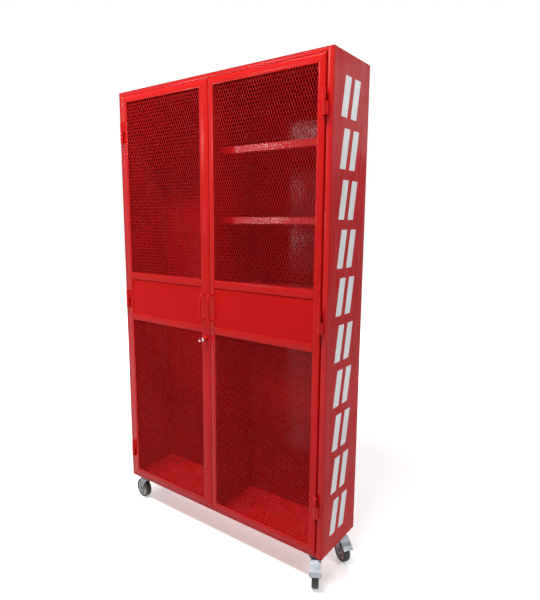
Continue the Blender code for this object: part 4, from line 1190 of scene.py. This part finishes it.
floor_tree.links.new(
    arithmetic(floor_tree, "MULTIPLY", floor_glow, looked_at(floor_tree)),
    floor_shader.inputs["Emission Strength"],
)
floor_shader.inputs["Emission Color"].default_value = (1, 1, 1, 1)
floor_mesh.materials.append(floor_paint)

world = bpy.data.worlds.new("white_studio")
bpy.context.scene.world = world
world.use_nodes = True
sky = world.node_tree
sky.nodes.clear()
AMBIENT = 0.02
strength = remap(sky, looked_at(sky), 0.0, 1.0, AMBIENT, 1.0)
background = sky.nodes.new("ShaderNodeBackground")
background.inputs["Color"].default_value = (1, 1, 1, 1)
sky.links.new(strength, background.inputs["Strength"])
world_output = sky.nodes.new("ShaderNodeOutputWorld")
sky.links.new(background.outputs["Background"], world_output.inputs["Surface"])


def softbox(name, place, target, width, height, power):
    """A rectangular area lamp that faces a point."""
    data = bpy.data.lights.new(name, "AREA")
    data.shape = "RECTANGLE"
    data.size = width
    data.size_y = height
    data.energy = power
    lamp = placed(name, data)
    lamp.location = place
    away = np.subtract(place, target)
    lamp.rotation_euler = (
        math.atan2(math.hypot(away[0], away[1]), away[2]),
        0,
        math.atan2(away[1], away[0]) + math.pi / 2,
    )


softbox("key_strip", (-0.6, -1.48, 4.3), (-0.2, -0.12, 1.6), 1.4, 0.2, 85)
softbox("right_key_strip", (0.5, -1.48, 4.3), (0.2, -0.12, 1.6), 1.2, 0.2, 76)
softbox("high_front_softbox", (0.0, -4.0, 4.2), (0.0, 0.0, 1.1), 1.5, 1.0, 8)
softbox("front_right_softbox", (2.6, -3.2, 3.6), (0.0, 0.0, 1.1), 1.2, 1.2, 12)
softbox("right_softbox", (3.6, -0.2, 3.4), (0.5, 0.0, 1.1), 1.2, 1.2, 55)
softbox("back_right_softbox", (2.6, 3.9, 3.1), (0.6, 0.0, 2.0), 1.5, 1.2, 10)
softbox("rear_softbox", (-1.8, 3.6, 3.2), (0.0, 0.0, 1.1), 1.4, 1.2, 80)
softbox("left_softbox", (-3.6, 0.3, 3.2), (-0.5, 0.0, 1.1), 1.2, 1.2, 30)
softbox("far_left_glint", (-3.5, -3.8, 2.6), (0.0, -0.1, 1.9), 0.25, 0.5, 14)
softbox("top_bay_glint", (-2.4, -3.9, 3.6), (0.4, 0.1, 2.0), 0.3, 0.3, 12)
softbox("upper_shelf_glint", (-2.6, -3.9, 2.55), (0.15, -0.1, 1.83), 0.2, 0.2, 4)
softbox("middle_shelf_glint", (-2.6, -3.9, 1.55), (0.3, -0.1, 1.53), 0.25, 0.15, 4)

bpy.context.scene.view_settings.view_transform = "Standard"
